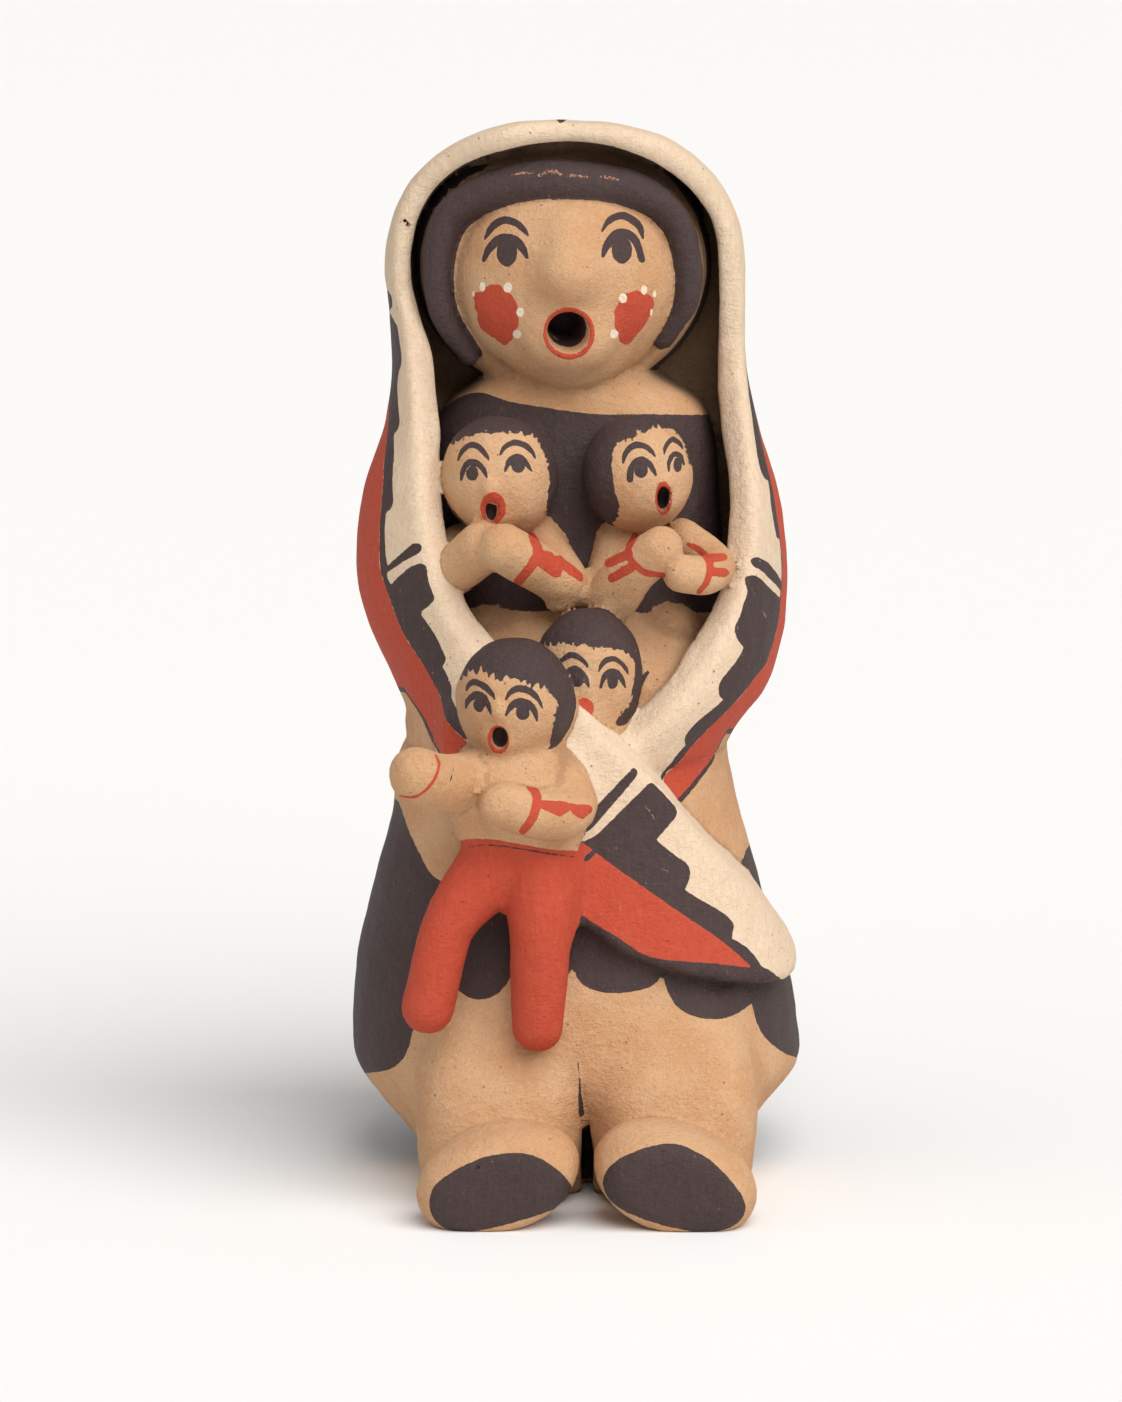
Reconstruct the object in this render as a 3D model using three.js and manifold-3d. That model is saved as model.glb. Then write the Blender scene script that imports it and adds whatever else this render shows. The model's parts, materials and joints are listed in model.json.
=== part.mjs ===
// A seated storyteller figure of fired clay: a woman in a hooded shawl, singing, with four children
// on her. Millimetres, +Z up, she faces -Y. The origin is on her flat underside, under her seat.
// She is modelled and fired as one piece of clay, so every form is joined into one closed solid.

import * as THREE from 'three';
import { mergeVertices } from 'three/addons/utils/BufferGeometryUtils.js';
import Module from 'manifold-3d';

const wasm = await Module();
wasm.setup();

// Driving dimensions, in millimetres.
const FIGURE_HEIGHT = 250;
const SHAWL_THICKNESS = 7.5; // the rolled slab of clay that hangs round her
const HOOD_THICKNESS = 4.2; // the same slab, pressed thinner beside her head
const CROWN_THICKNESS = 5.2; // and over it
const FLAP_THICKNESS = 5; // the slab's end, laid over the crossing and the lap
const MOUTH_WIDTH = 9.5;
const MOUTH_DEPTH = 13;
const CHILD_MOUTH_WIDTH = 4.2;
const CHILD_MOUTH_HEIGHT = 6;
const CHILD_MOUTH_DEPTH = 4.5;
const LEG_GAP = 3.2; // the open slot between her legs, where it is widest

// Pose, proportions and carving are shares of the height, in thousandths of it.
const share = (thousandths) => (FIGURE_HEIGHT * thousandths) / 1000;
const toShare = (millimetres) => (millimetres * 1000) / FIGURE_HEIGHT;
const at = (x, y, z) => new THREE.Vector3(share(x), share(y), share(z));

// Each column's rows: height, half width, sideways middle, front and back.
const SHAWL_ROWS = [
  [394, 132, -2, -196, 150],
  [406, 150, -3, -206, 164],
  [420, 157, -2, -212, 172],
  [440, 164, 5, -216, 179],
  [460, 176, 9, -216, 184],
  [490, 189, 8, -214, 190],
  [528, 201, 4, -208, 194],
  [584, 206, 0, -200, 194],
  [646, 198, -1, -188, 188],
  [708, 178, 0, -170, 182],
  [768, 169, -2, -152, 180],
  [848, 173, -7, -136, 176],
];
const BODY_ROWS = [
  [0, 126, 0, -190, 120],
  [18, 142, 2, -202, 140],
  [50, 172, 4, -218, 168],
  [70, 190, 4, -230, 184],
  [104, 213, 5, -248, 196],
  [136, 213, 3, -254, 198],
  [196, 206, 0, -248, 196],
  [244, 191, -4, -236, 188],
  [292, 179, -5, -228, 180],
  [340, 166, -5, -212, 172],
  [384, 159, -8, -200, 164],
  [404, 154, -6, -196, 152],
  [432, 140, 0, -188, 140],
  [472, 130, 2, -180, 130],
];
const CHEST_ROWS = [
  [440, 150, 4, -184, 120],
  [496, 152, 4, -168, 120],
  [540, 148, 2, -128, 120],
  [590, 144, 0, -104, 120],
  [650, 140, 0, -96, 120],
  [700, 134, 0, -88, 120],
  [732, 118, 2, -76, 110],
  [758, 82, -2, -60, 100],
  [790, 70, -3, -48, 90],
  [820, 66, -4, -40, 80],
];
const FLAP_ROWS = [
  [180, 207, 0, -242, 120],
  [230, 197, -2, -240, 120],
  [290, 181, -4, -232, 120],
  [350, 172, -2, -222, 120],
  [400, 176, 2, -218, 120],
  [450, 182, 4, -216, 120],
  [510, 196, 4, -210, 120],
];
// A leg's rows: height, half width, front and back.
const LEG_ROWS = [
  [0, 64, -270, -60],
  [24, 74, -278, -60],
  [64, 78, -280, -60],
  [110, 79, -272, -60],
  [150, 72, -252, -60],
  [190, 56, -226, -60],
];
const SECTION_SQUARENESS = 2.4; // 2 is a plain ellipse, more is squarer
const LEG_SQUARENESS = 3.2;
const COLUMN_SIDES = 34;

const HOOD_TOP = 1000;
const HOOD_CREST = -64; // how far forward the dome's highest point lies
const HOOD_ROUNDNESS = 2.25;
const THINNED_FROM = 690; // the slab is pressed thinner from this height
const THINNED_TO = 880; // up to this one
const HOLLOW_FLOOR = 428; // the shawl is open inside above this height
const HOLLOW_BACK = 32; // and in front of this depth

// The opening of the shawl seen from the front, from the crest down the left side, across the
// crossing and up the right side: sideways place and height of the slab's outer edge.
const RIM_POINTS = [
  [-4, 998],
  [-64, 991],
  [-122, 967],
  [-154, 931],
  [-167, 880],
  [-166, 848],
  [-158, 815],
  [-153, 780],
  [-147, 727],
  [-142, 660],
  [-131, 590],
  [-108, 534],
  [-66, 487],
  [0, 450],
  [44, 424],
  [94, 462],
  [139, 520],
  [163, 572],
  [171, 640],
  [166, 710],
  [162, 770],
  [160, 830],
  [154, 885],
  [138, 932],
  [104, 966],
  [56, 989],
];
const RIM_CENTRE = at(20, -10, 600); // the slab is cut along lines that start here
const RIM_STEPS = 50;

// The end of the slab seen from the front, from her right side over the crossing to the corner.
const FLAP_POINTS = [
  [-126, 424],
  [-100, 390],
  [-48, 336],
  [4, 272],
  [60, 232],
  [120, 212],
  [200, 196],
  [216, 203],
  [212, 228],
  [161, 300],
  [77, 398],
  [4, 477],
  [-50, 503],
  [-112, 484],
];

const FLAP_BACK = -100; // the flap wraps back round her hip as far as this

// Her head, hair and legs.
const HEAD_CENTRE = [-4, -20, 852];
const HEAD_RADII = [106, 106, 104];
const MOUTH_HEIGHT = 804;
const HAIR_ROLL = [
  [-97, -48, 776],
  [-126, -56, 816],
  [-132, -56, 865],
  [-117, -57, 914],
  [-64, -70, 939],
  [-4, -76, 942],
  [60, -70, 935],
  [100, -60, 908],
  [111, -56, 863],
  [108, -54, 825],
  [86, -50, 790],
];
const HAIR_RADII = [9, 15, 20, 15, 9];
const LEG_MIDDLES = [-68, 95];
const FOOT_RADII = [77, 66, 51];
const FOOT_TIP = 0.33; // how far the feet tip outwards, in radians
const SOLE_LEAN = 0.15; // how far the soles lean back, in radians
const SOLE_PLACE = -352;
// The slot between her legs seen from the front, upright on its left and wider from its top down.
const SLOT_SIDE = 8;
const SLOT_TOP = 138;
const SLOT_WIDEST_AT = 50;
const SLOT_BACK = -150;

// Four children. A head looks along its turn, in radians towards +X, and its mouth is that share of
// the head's size below the middle; each arm runs from the shoulder to the hand.
const CHILDREN = [
  {
    head: [-65, -116, 669],
    size: 55,
    tall: 1.03,
    turn: -0.17,
    mouth: { drop: 0.5, wide: 1, high: 0.97 },
    body: { centre: [-60, -88, 498], radii: [60, 46, 60] },
    limbs: [
      { points: [[-104, -92, 600], [-116, -128, 578], [-84, -168, 608]], radii: [23, 23] },
      { points: [[-34, -98, 610], [-2, -134, 570], [-32, -166, 588], [-63, -188, 606]], radii: [21, 22] },
    ],
  },
  {
    head: [61, -114, 672],
    size: 53,
    tall: 1.03,
    turn: 0.55,
    mouth: { drop: 0.36, wide: 0.7, high: 1.07 },
    body: { centre: [74, -88, 500], radii: [58, 44, 64] },
    limbs: [
      { points: [[46, -96, 604], [34, -132, 556], [54, -164, 584], [82, -186, 610]], radii: [24, 25, 21] },
      { points: [[104, -96, 606], [134, -136, 588], [124, -168, 582], [102, -184, 586]], radii: [20, 18] },
    ],
  },
  {
    head: [15, -176, 491],
    size: 51,
    tall: 1.2,
    turn: -0.09,
    mouth: { drop: 0.58, wide: 0.8, high: 0.63 },
    body: { centre: [18, -160, 430], radii: [50, 44, 56] },
    limbs: [],
  },
  {
    head: [-51, -244, 478],
    size: 52,
    tall: 1.09,
    turn: -0.3,
    mouth: { drop: 0.57, wide: 0.83, high: 0.85 },
    body: { centre: [-52, -250, 380], radii: [60, 44, 64] },
    limbs: [
      { points: [[-82, -246, 404], [-116, -290, 406], [-141, -318, 418]], radii: [26, 25] },
      { points: [[-26, -246, 414], [-2, -272, 384], [-24, -296, 377], [-65, -308, 388]], radii: [20, 23, 20] },
      { points: [[-80, -254, 328], [-110, -268, 268], [-132, -264, 200]], radii: [34, 27, 25] },
      { points: [[-37, -254, 324], [-28, -270, 260], [-28, -266, 180]], radii: [34, 30, 27] },
    ],
  },
];

// A smooth curve through the rows: the column's section at a height.
function readRows(rows, height) {
  const last = rows.length - 1;
  const z = THREE.MathUtils.clamp(height, rows[0][0], rows[last][0]);
  let i = 0;
  while (i < last - 1 && z > rows[i + 1][0]) i += 1;
  const slope = (k, entry) => {
    const before = rows[Math.max(k - 1, 0)];
    const after = rows[Math.min(k + 1, last)];
    return (after[entry] - before[entry]) / (after[0] - before[0]);
  };
  const span = rows[i + 1][0] - rows[i][0];
  const t = (z - rows[i][0]) / span;
  const ease = t * t * (3 - 2 * t);
  const [half, middle, front, back] = [1, 2, 3, 4].map(
    (entry) =>
      THREE.MathUtils.lerp(rows[i][entry], rows[i + 1][entry], ease) +
      (t ** 3 - 2 * t ** 2 + t) * span * slope(i, entry) +
      (t ** 3 - t ** 2) * span * slope(i + 1, entry),
  );
  return { half, middle, centre: (front + back) / 2, depth: (back - front) / 2 };
}

// The shawl's section, with the hood's dome above its last row: its outside, or the hollow's.
function shawlSection(height, hollow = false) {
  const base = SHAWL_ROWS.at(-1)[0];
  const { half, middle, centre, depth } = readRows(SHAWL_ROWS, height);
  const thinning = THREE.MathUtils.smoothstep(height, THINNED_FROM, THINNED_TO);
  const inset = hollow ? toShare(THREE.MathUtils.lerp(SHAWL_THICKNESS, HOOD_THICKNESS, thinning)) : 0;
  const top = HOOD_TOP - (hollow ? toShare(CROWN_THICKNESS) : 0);
  const rise = THREE.MathUtils.clamp((height - base) / (top - base), 0, 1);
  const round = (1 - rise ** HOOD_ROUNDNESS) ** (1 / HOOD_ROUNDNESS);
  return {
    half: (half - inset) * round,
    middle,
    centre: THREE.MathUtils.lerp(centre, HOOD_CREST, rise ** 2),
    depth: (depth - inset) * round,
  };
}

// The place on the front of the shawl that is seen at a sideways place and a height.
function shawlFront([x, z]) {
  const { half, middle, centre, depth } = shawlSection(z);
  const offset = Math.min(Math.abs(x - middle) / half, 1);
  const reach = (1 - offset ** SECTION_SQUARENESS) ** (1 / SECTION_SQUARENESS);
  return at(x, centre - depth * reach, z);
}

function toSolid(geometry) {
  geometry.deleteAttribute('normal');
  geometry.deleteAttribute('uv');
  const merged = mergeVertices(geometry, 1e-4);
  const index = merged.index.array;
  const triangles = [];
  for (let i = 0; i < index.length; i += 3) {
    const [a, b, c] = index.slice(i, i + 3);
    if (a !== b && b !== c && c !== a) triangles.push(a, b, c);
  }
  const mesh = new wasm.Mesh({
    numProp: 3,
    vertProperties: new Float32Array(merged.attributes.position.array),
    triVerts: new Uint32Array(triangles),
  });
  return new wasm.Manifold(mesh);
}

function reshape(geometry, place) {
  const position = geometry.attributes.position;
  for (let i = 0; i < position.count; i += 1) {
    const moved = place(new THREE.Vector3().fromBufferAttribute(position, i));
    position.setXYZ(i, moved.x, moved.y, moved.z);
  }
  return toSolid(geometry);
}

// A column of superellipse sections; spacing crowds its rings towards the top of a dome.
function column(sectionAt, bottom, top, rings, sides, spacing = (t) => t, power = SECTION_SQUARENESS) {
  const profile = [new THREE.Vector2(0, 0)];
  for (let i = 0; i <= rings; i += 1) profile.push(new THREE.Vector2(1, spacing(i / rings)));
  profile.push(new THREE.Vector2(0, 1));
  const stretch = (c) => Math.sign(c) * Math.abs(c) ** (2 / power);
  return reshape(new THREE.LatheGeometry(profile, sides), (point) => {
    const height = THREE.MathUtils.lerp(bottom, top, point.y);
    const { half, middle, centre, depth } = sectionAt(height);
    return at(middle + stretch(point.x) * half, centre + stretch(-point.z) * depth, height);
  });
}

const endSpacing = (t) => 1 - (1 - t ** 1.6) ** 2.2;

function ellipsoid(centre, radii, sides = 16, tip = 0) {
  const ball = new THREE.SphereGeometry(1, sides, Math.round(sides * 0.6));
  ball.rotateX(Math.PI / 2);
  ball.scale(...radii.map(share));
  ball.rotateY(tip);
  ball.translate(...centre.map(share));
  return toSolid(ball);
}

// A limb or a roll of clay with round ends, along a smooth path; its radii are spread along it.
function limb(points, radii, sides = 8, steps = 4) {
  const path = new THREE.CatmullRomCurve3(points.map((point) => at(...point)));
  return reshape(new THREE.CapsuleGeometry(1, steps, 2, sides, steps), (point) => {
    const along = THREE.MathUtils.clamp(point.y, -steps / 2, steps / 2);
    const t = along / steps + 0.5;
    const place = t * (radii.length - 1);
    const [from, to] = [radii[Math.floor(place)], radii[Math.ceil(place)]];
    const radius = share(THREE.MathUtils.lerp(from, to, place % 1));
    const tangent = path.getTangentAt(t);
    const front = new THREE.Vector3(0, -1, 0).addScaledVector(tangent, tangent.y).normalize();
    const side = new THREE.Vector3().crossVectors(tangent, front);
    return path
      .getPointAt(t)
      .addScaledVector(tangent, (point.y - along) * radius)
      .addScaledVector(side, point.x * radius)
      .addScaledVector(front, point.z * radius);
  });
}

function box(low, high) {
  const size = new THREE.Vector3().subVectors(high, low);
  const middle = new THREE.Vector3().addVectors(high, low).divideScalar(2);
  const block = new THREE.BoxGeometry(size.x, size.y, size.z);
  block.translate(middle.x, middle.y, middle.z);
  return toSolid(block);
}

const joinAll = (solids) => solids.reduce((whole, next) => whole.add(next));

// The solid without the small pockets that its joined forms close in.
const filled = (solid) => wasm.Manifold.compose(solid.decompose().filter((body) => body.volume() > 0));

// Everything in front of a cone from the rim's centre through the slab's outer edge.
function opening() {
  const rim = new THREE.CatmullRomCurve3(RIM_POINTS.map(shawlFront), true);
  const reach = 1.8;
  const far = at(0, -600, 720);
  return reshape(new THREE.ConeGeometry(1, 1, RIM_STEPS, 1), (point) => {
    if (point.y > 0) return RIM_CENTRE;
    if (Math.hypot(point.x, point.z) < 0.5) return far;
    const t = Math.atan2(point.x, point.z) / (2 * Math.PI);
    return RIM_CENTRE.clone().lerp(rim.getPoint(THREE.MathUtils.euclideanModulo(-t, 1)), reach);
  });
}

// A slab of clay hung round her, hollow in front and open inside its rim.
function shawl() {
  const outer = column(shawlSection, SHAWL_ROWS[0][0], HOOD_TOP, 22, COLUMN_SIDES, endSpacing);
  const insideAt = (height) => shawlSection(height, true);
  const crown = HOOD_TOP - toShare(CROWN_THICKNESS);
  const inside = column(insideAt, HOLLOW_FLOOR, crown, 11, 24, endSpacing);
  const front = box(at(-400, -400, 0), at(400, HOLLOW_BACK, HOOD_TOP));
  return outer.subtract(inside.intersect(front)).subtract(opening());
}

// The end of the slab that crosses over and lies on the lap.
function flap() {
  const proud = toShare(FLAP_THICKNESS);
  const drapeAt = (height) => {
    const section = readRows(FLAP_ROWS, height);
    return { ...section, half: section.half + proud, depth: section.depth + proud };
  };
  const drape = column(drapeAt, FLAP_ROWS[0][0], FLAP_ROWS.at(-1)[0], 8, COLUMN_SIDES);
  const outline = new THREE.Shape(FLAP_POINTS.map(([x, z]) => new THREE.Vector2(share(x), share(z))));
  const block = new THREE.ExtrudeGeometry(outline, { depth: FIGURE_HEIGHT, bevelEnabled: false });
  block.rotateX(Math.PI / 2);
  block.translate(0, share(FLAP_BACK), 0);
  return drape.intersect(toSolid(block));
}

// Her head with its roll of hair, nose and lips.
function head() {
  const [x, y, z] = HEAD_CENTRE;
  return joinAll([
    ellipsoid(HEAD_CENTRE, HEAD_RADII, 20),
    ellipsoid([x, y - 40, z - 66], [60, 46, 46], 12),
    ellipsoid([x - 5, y + 24, z + 8], [126, 98, 122], 16),
    limb(HAIR_ROLL, HAIR_RADII, 8, 16),
    limb([[x, y - 88, z + 60], [x, y - 103, z + 34], [x, y - 107, z + 10]], [11, 22], 8, 2),
    ellipsoid([x, y - 80, MOUTH_HEIGHT], [44, 28, 38], 10),
  ]);
}

function mouthHole() {
  const face = share(HEAD_CENTRE[1] - 106);
  const length = share(80) + MOUTH_DEPTH;
  const hole = new THREE.CylinderGeometry(MOUTH_WIDTH / 2, MOUTH_WIDTH / 2, length, 14);
  hole.translate(share(HEAD_CENTRE[0]), face + MOUTH_DEPTH - length / 2, share(MOUTH_HEIGHT));
  return toSolid(hole);
}

// A leg.
function leg(middle) {
  const legAt = (height) => {
    const rows = LEG_ROWS.map(([z, half, front, back]) => [z, half, middle, front, back]);
    return readRows(rows, height);
  };
  return column(legAt, 0, LEG_ROWS.at(-1)[0], 5, 20, undefined, LEG_SQUARENESS);
}

// A foot that tips sideways; its sole is a flat oval that faces forward.
function foot(middle, tip) {
  const whole = ellipsoid([middle, -314, 43], FOOT_RADII, 20, tip);
  const ahead = new THREE.BoxGeometry(share(300), share(200), share(300));
  ahead.translate(0, share(-100), 0);
  ahead.rotateX(SOLE_LEAN);
  ahead.translate(share(middle), share(SOLE_PLACE), 0);
  return whole.subtract(toSolid(ahead));
}

// The open slot between her legs.
function slot() {
  const wide = toShare(LEG_GAP);
  const corners = [
    [SLOT_SIDE, SLOT_TOP],
    [SLOT_SIDE, -SLOT_TOP],
    [SLOT_SIDE + wide, -SLOT_TOP],
    [SLOT_SIDE + wide, SLOT_WIDEST_AT],
    [SLOT_SIDE + 0.12 * wide, SLOT_TOP],
  ];
  const outline = new THREE.Shape(corners.map(([x, z]) => new THREE.Vector2(share(x), share(z))));
  const wedge = new THREE.ExtrudeGeometry(outline, { depth: FIGURE_HEIGHT, bevelEnabled: false });
  wedge.rotateX(Math.PI / 2);
  wedge.translate(0, share(SLOT_BACK), 0);
  return toSolid(wedge);
}

// A child's head, body and limbs, and the hole of the singing mouth.
function child({ head: centre, size, tall, turn, mouth, body, limbs }) {
  const [x, y, z] = centre;
  const look = new THREE.Vector3(Math.sin(turn), -Math.cos(turn), 0);
  const onFace = (reach, rise) => [
    x + look.x * size * reach,
    y + look.y * size * reach,
    z + size * rise,
  ];
  const clay = joinAll([
    ellipsoid(centre, [size, size, size * tall], 14),
    ellipsoid(onFace(0.9, -0.1), [size * 0.15, size * 0.2, size * 0.2], 8),
    ellipsoid(onFace(0.62, -mouth.drop), [size * 0.36, size * 0.26, size * 0.3], 10),
    ellipsoid(body.centre, body.radii, 12),
    ...limbs.map(({ points, radii }) => limb(points, radii)),
  ]);
  const hole = new THREE.SphereGeometry(1, 10, 6);
  const [wide, high] = [CHILD_MOUTH_WIDTH * mouth.wide, CHILD_MOUTH_HEIGHT * mouth.high];
  hole.scale(wide / 2, CHILD_MOUTH_DEPTH, high / 2);
  hole.rotateZ(turn);
  hole.translate(...onFace(0.86, -mouth.drop).map(share));
  return { clay, hole: toSolid(hole) };
}

function storyteller() {
  const seat = column((z) => readRows(BODY_ROWS, z), 0, BODY_ROWS.at(-1)[0], 11, COLUMN_SIDES);
  const chest = column((z) => readRows(CHEST_ROWS, z), CHEST_ROWS[0][0], CHEST_ROWS.at(-1)[0], 8, 24);
  const children = CHILDREN.map(child);
  const clay = joinAll([
    shawl(),
    seat,
    chest,
    flap(),
    head(),
    ...LEG_MIDDLES.map(leg),
    ...LEG_MIDDLES.map((middle) => foot(middle, Math.sign(middle) * FOOT_TIP)),
    ...children.map((one) => one.clay),
  ]);
  const below = box(at(-400, -400, -400), at(400, 400, 0));
  const holes = [mouthHole(), ...children.map((one) => one.hole), slot(), below];
  return filled(clay.subtract(joinAll(holes)));
}

function toGeometry(solid) {
  const mesh = solid.getMesh();
  const geometry = new THREE.BufferGeometry();
  geometry.setAttribute('position', new THREE.BufferAttribute(mesh.vertProperties, 3));
  geometry.setIndex(new THREE.BufferAttribute(mesh.triVerts, 1));
  geometry.computeVertexNormals();
  return geometry;
}

const firedClay = new THREE.MeshStandardMaterial({ color: 0xc49a72, roughness: 0.85, metalness: 0 });
const figure = new THREE.Mesh(toGeometry(storyteller()), firedClay);
figure.name = 'storyteller_figure';
const model = new THREE.Group();
model.add(figure);

export default model;
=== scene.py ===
"""A seated storyteller figure of fired and painted clay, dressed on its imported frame.

The figure is one piece of clay. Each form of it, such as the shawl or a child, says how far a point
lies from its surface. A net is laid over the joined forms, pressed onto them and made finer where
paint or carving needs it. Lengths in the classes are millimetres, and proportions are thousandths
of the figure's height, as in the part's own source. She faces -Y, and her right is at -X.
"""

from __future__ import annotations

import json
import logging
import math
from dataclasses import dataclass, field
from enum import Enum
from typing import Callable, Sequence

import bpy
import numpy as np
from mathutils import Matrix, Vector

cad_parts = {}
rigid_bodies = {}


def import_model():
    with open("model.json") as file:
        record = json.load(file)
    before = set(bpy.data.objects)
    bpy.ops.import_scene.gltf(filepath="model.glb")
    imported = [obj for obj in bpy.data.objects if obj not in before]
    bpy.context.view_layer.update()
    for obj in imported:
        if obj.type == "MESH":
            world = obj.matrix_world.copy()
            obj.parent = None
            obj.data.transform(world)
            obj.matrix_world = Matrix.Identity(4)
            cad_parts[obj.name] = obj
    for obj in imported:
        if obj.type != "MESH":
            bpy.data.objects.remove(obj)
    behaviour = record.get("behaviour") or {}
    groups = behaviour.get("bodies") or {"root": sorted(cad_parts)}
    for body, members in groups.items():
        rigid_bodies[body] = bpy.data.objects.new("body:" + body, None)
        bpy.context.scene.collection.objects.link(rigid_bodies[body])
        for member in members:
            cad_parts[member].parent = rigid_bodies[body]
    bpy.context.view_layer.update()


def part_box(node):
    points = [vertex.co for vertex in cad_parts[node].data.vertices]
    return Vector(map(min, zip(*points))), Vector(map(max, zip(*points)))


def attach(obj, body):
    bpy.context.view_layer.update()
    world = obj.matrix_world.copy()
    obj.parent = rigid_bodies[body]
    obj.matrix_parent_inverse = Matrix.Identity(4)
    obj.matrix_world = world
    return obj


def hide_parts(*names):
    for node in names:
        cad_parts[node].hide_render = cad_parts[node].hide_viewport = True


log = logging.getLogger("storyteller")

Array = np.ndarray
Triple = tuple[float, float, float]
Pixels = tuple[tuple[float, ...], ...]
Rows = tuple[tuple[float, ...], ...]
Tree = bpy.types.NodeTree

NODE = "storyteller_figure"
FIGURE_HEIGHT = 250.0
MILLIMETRE = 0.001


def share(thousandths: float | Sequence[float] | Array) -> float | Array:
    """Turns thousandths of the figure's height into millimetres.

    Args:
        thousandths: One proportion, or several.

    Returns:
        The same in millimetres.
    """
    return np.asarray(thousandths, float) * FIGURE_HEIGHT / 1000


def to_share(millimetres: float) -> float:
    """Turns millimetres into thousandths of the figure's height."""
    return millimetres * 1000 / FIGURE_HEIGHT


def soft_min(a: Array, b: Array, radius: float | Array) -> Array:
    """Joins two distances as clay is smoothed at a joint.

    Args:
        a: Distances from the first form.
        b: Distances from the second form.
        radius: How far the smoothing reaches, in millimetres.

    Returns:
        The distance from both forms together.
    """
    overlap = np.maximum(radius - np.abs(a - b), 0) / radius
    return np.minimum(a, b) - overlap * overlap * radius / 4


def soft_max(a: Array, b: Array, radius: float | Array) -> Array:
    """Keeps what two forms share, with a rounded edge; the arguments are those of soft_min."""
    return -soft_min(-a, -b, radius)


def smooth_step(low: float, high: float, value: Array) -> Array:
    """Goes from 0 at low to 1 at high without a corner."""
    t = np.clip((value - low) / (high - low), 0, 1)
    return t * t * (3 - 2 * t)


def smooth_path(points: Array, steps: int = 5) -> Array:
    """Runs a smooth curve through points.

    Args:
        points: The points, one a row.
        steps: How many pieces each stretch is cut into.

    Returns:
        Points on the curve, the first and the last among them.
    """
    ends = np.vstack([2 * points[0] - points[1], points, 2 * points[-1] - points[-2]])
    t = np.linspace(0, 1, steps, endpoint=False)[:, None]
    stretches = []
    for a, b, c, d in zip(ends, ends[1:], ends[2:], ends[3:]):
        bend = (2 * a - 5 * b + 4 * c - d) * t**2 + (3 * b - a - 3 * c + d) * t**3
        stretches.append((2 * b + (c - a) * t + bend) / 2)
    return np.vstack([*stretches, points[-1:]])


class Ripple:
    """Soft unevenness without a pattern, the same on every run."""

    def __init__(self, size: float, seed: int, waves: int = 14) -> None:
        """Picks the waves.

        Args:
            size: The usual distance between two bumps, in millimetres.
            seed: Sets which bumps come out.
            waves: How many plane waves are added up.
        """
        chance = np.random.default_rng(seed)
        directions = chance.normal(size=(waves, 3))
        directions /= np.linalg.norm(directions, axis=1)[:, None]
        self.waves = directions * 2 * math.pi / (size * chance.uniform(0.7, 1.5, (waves, 1)))
        self.phases = chance.uniform(0, 2 * math.pi, waves)

    def __call__(self, points: Array) -> Array:
        """Gives the unevenness at points, mostly between -1 and 1."""
        return np.sin(points @ self.waves.T + self.phases).sum(1) * math.sqrt(2 / len(self.phases)) / 2


class Form:
    """A form of clay that knows how far points lie from its surface, inside counting as negative."""

    def distance(self, points: Array) -> Array:
        """Gives the distance of each point, in millimetres."""
        raise NotImplementedError

    def corners(self) -> tuple[Array, Array]:
        """Gives the lowest and highest corner of a box around the form, in millimetres."""
        raise NotImplementedError

    def near(self, points: Array, margin: float = 6.0) -> Array:
        """Gives the distance, worked out in full only close to the form.

        Args:
            points: The points, one a row, in millimetres.
            margin: How far from the form's box the full distance is wanted.

        Returns:
            One distance a point, never more than the real one far away.
        """
        low, high = self.corners()
        beyond = np.maximum(np.maximum(low - points, points - high), 0)
        distances = np.sqrt((beyond * beyond).sum(1))
        close = distances < margin
        distances[close] = self.distance(points[close])
        return distances


@dataclass(frozen=True)
class Ball(Form):
    """A pressed ball of clay: an ellipsoid, with its place and radii as shares of the height."""

    centre: Triple
    radii: Triple

    def corners(self) -> tuple[Array, Array]:
        """Gives the box around the ball."""
        return share(self.centre) - share(self.radii), share(self.centre) + share(self.radii)

    def distance(self, points: Array) -> Array:
        """Gives the distance from the ball."""
        radii = share(self.radii)
        scaled = (points - share(self.centre)) / radii
        length = np.linalg.norm(scaled, axis=1)
        slope = np.maximum(np.linalg.norm(scaled / radii, axis=1), 1e-6)
        return length * (length - 1) / slope


@dataclass(frozen=True)
class Roll(Form):
    """A rolled limb or rope of clay along a smooth path, with its sizes as shares of the height."""

    points: tuple[Triple, ...]
    radii: tuple[float, ...]

    def corners(self) -> tuple[Array, Array]:
        """Gives the box around the roll."""
        path, thick = share(self.points), share(max(self.radii)) * 1.15
        return path.min(0) - thick, path.max(0) + thick

    def distance(self, points: Array) -> Array:
        """Gives the distance from the roll."""
        path = smooth_path(share(self.points), 4)
        places = np.linspace(0, len(self.radii) - 1, len(path))
        radii = share(np.interp(places, range(len(self.radii)), self.radii))
        nearest = np.full(len(points), 1e6)
        for a, b, thick, thin in zip(path, path[1:], radii, radii[1:]):
            t = np.clip((points - a) @ (b - a) / ((b - a) @ (b - a)), 0, 1)
            away = np.linalg.norm(points - a - t[:, None] * (b - a), axis=1)
            nearest = np.minimum(nearest, away - thick - t * (thin - thick))
        return nearest


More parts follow.
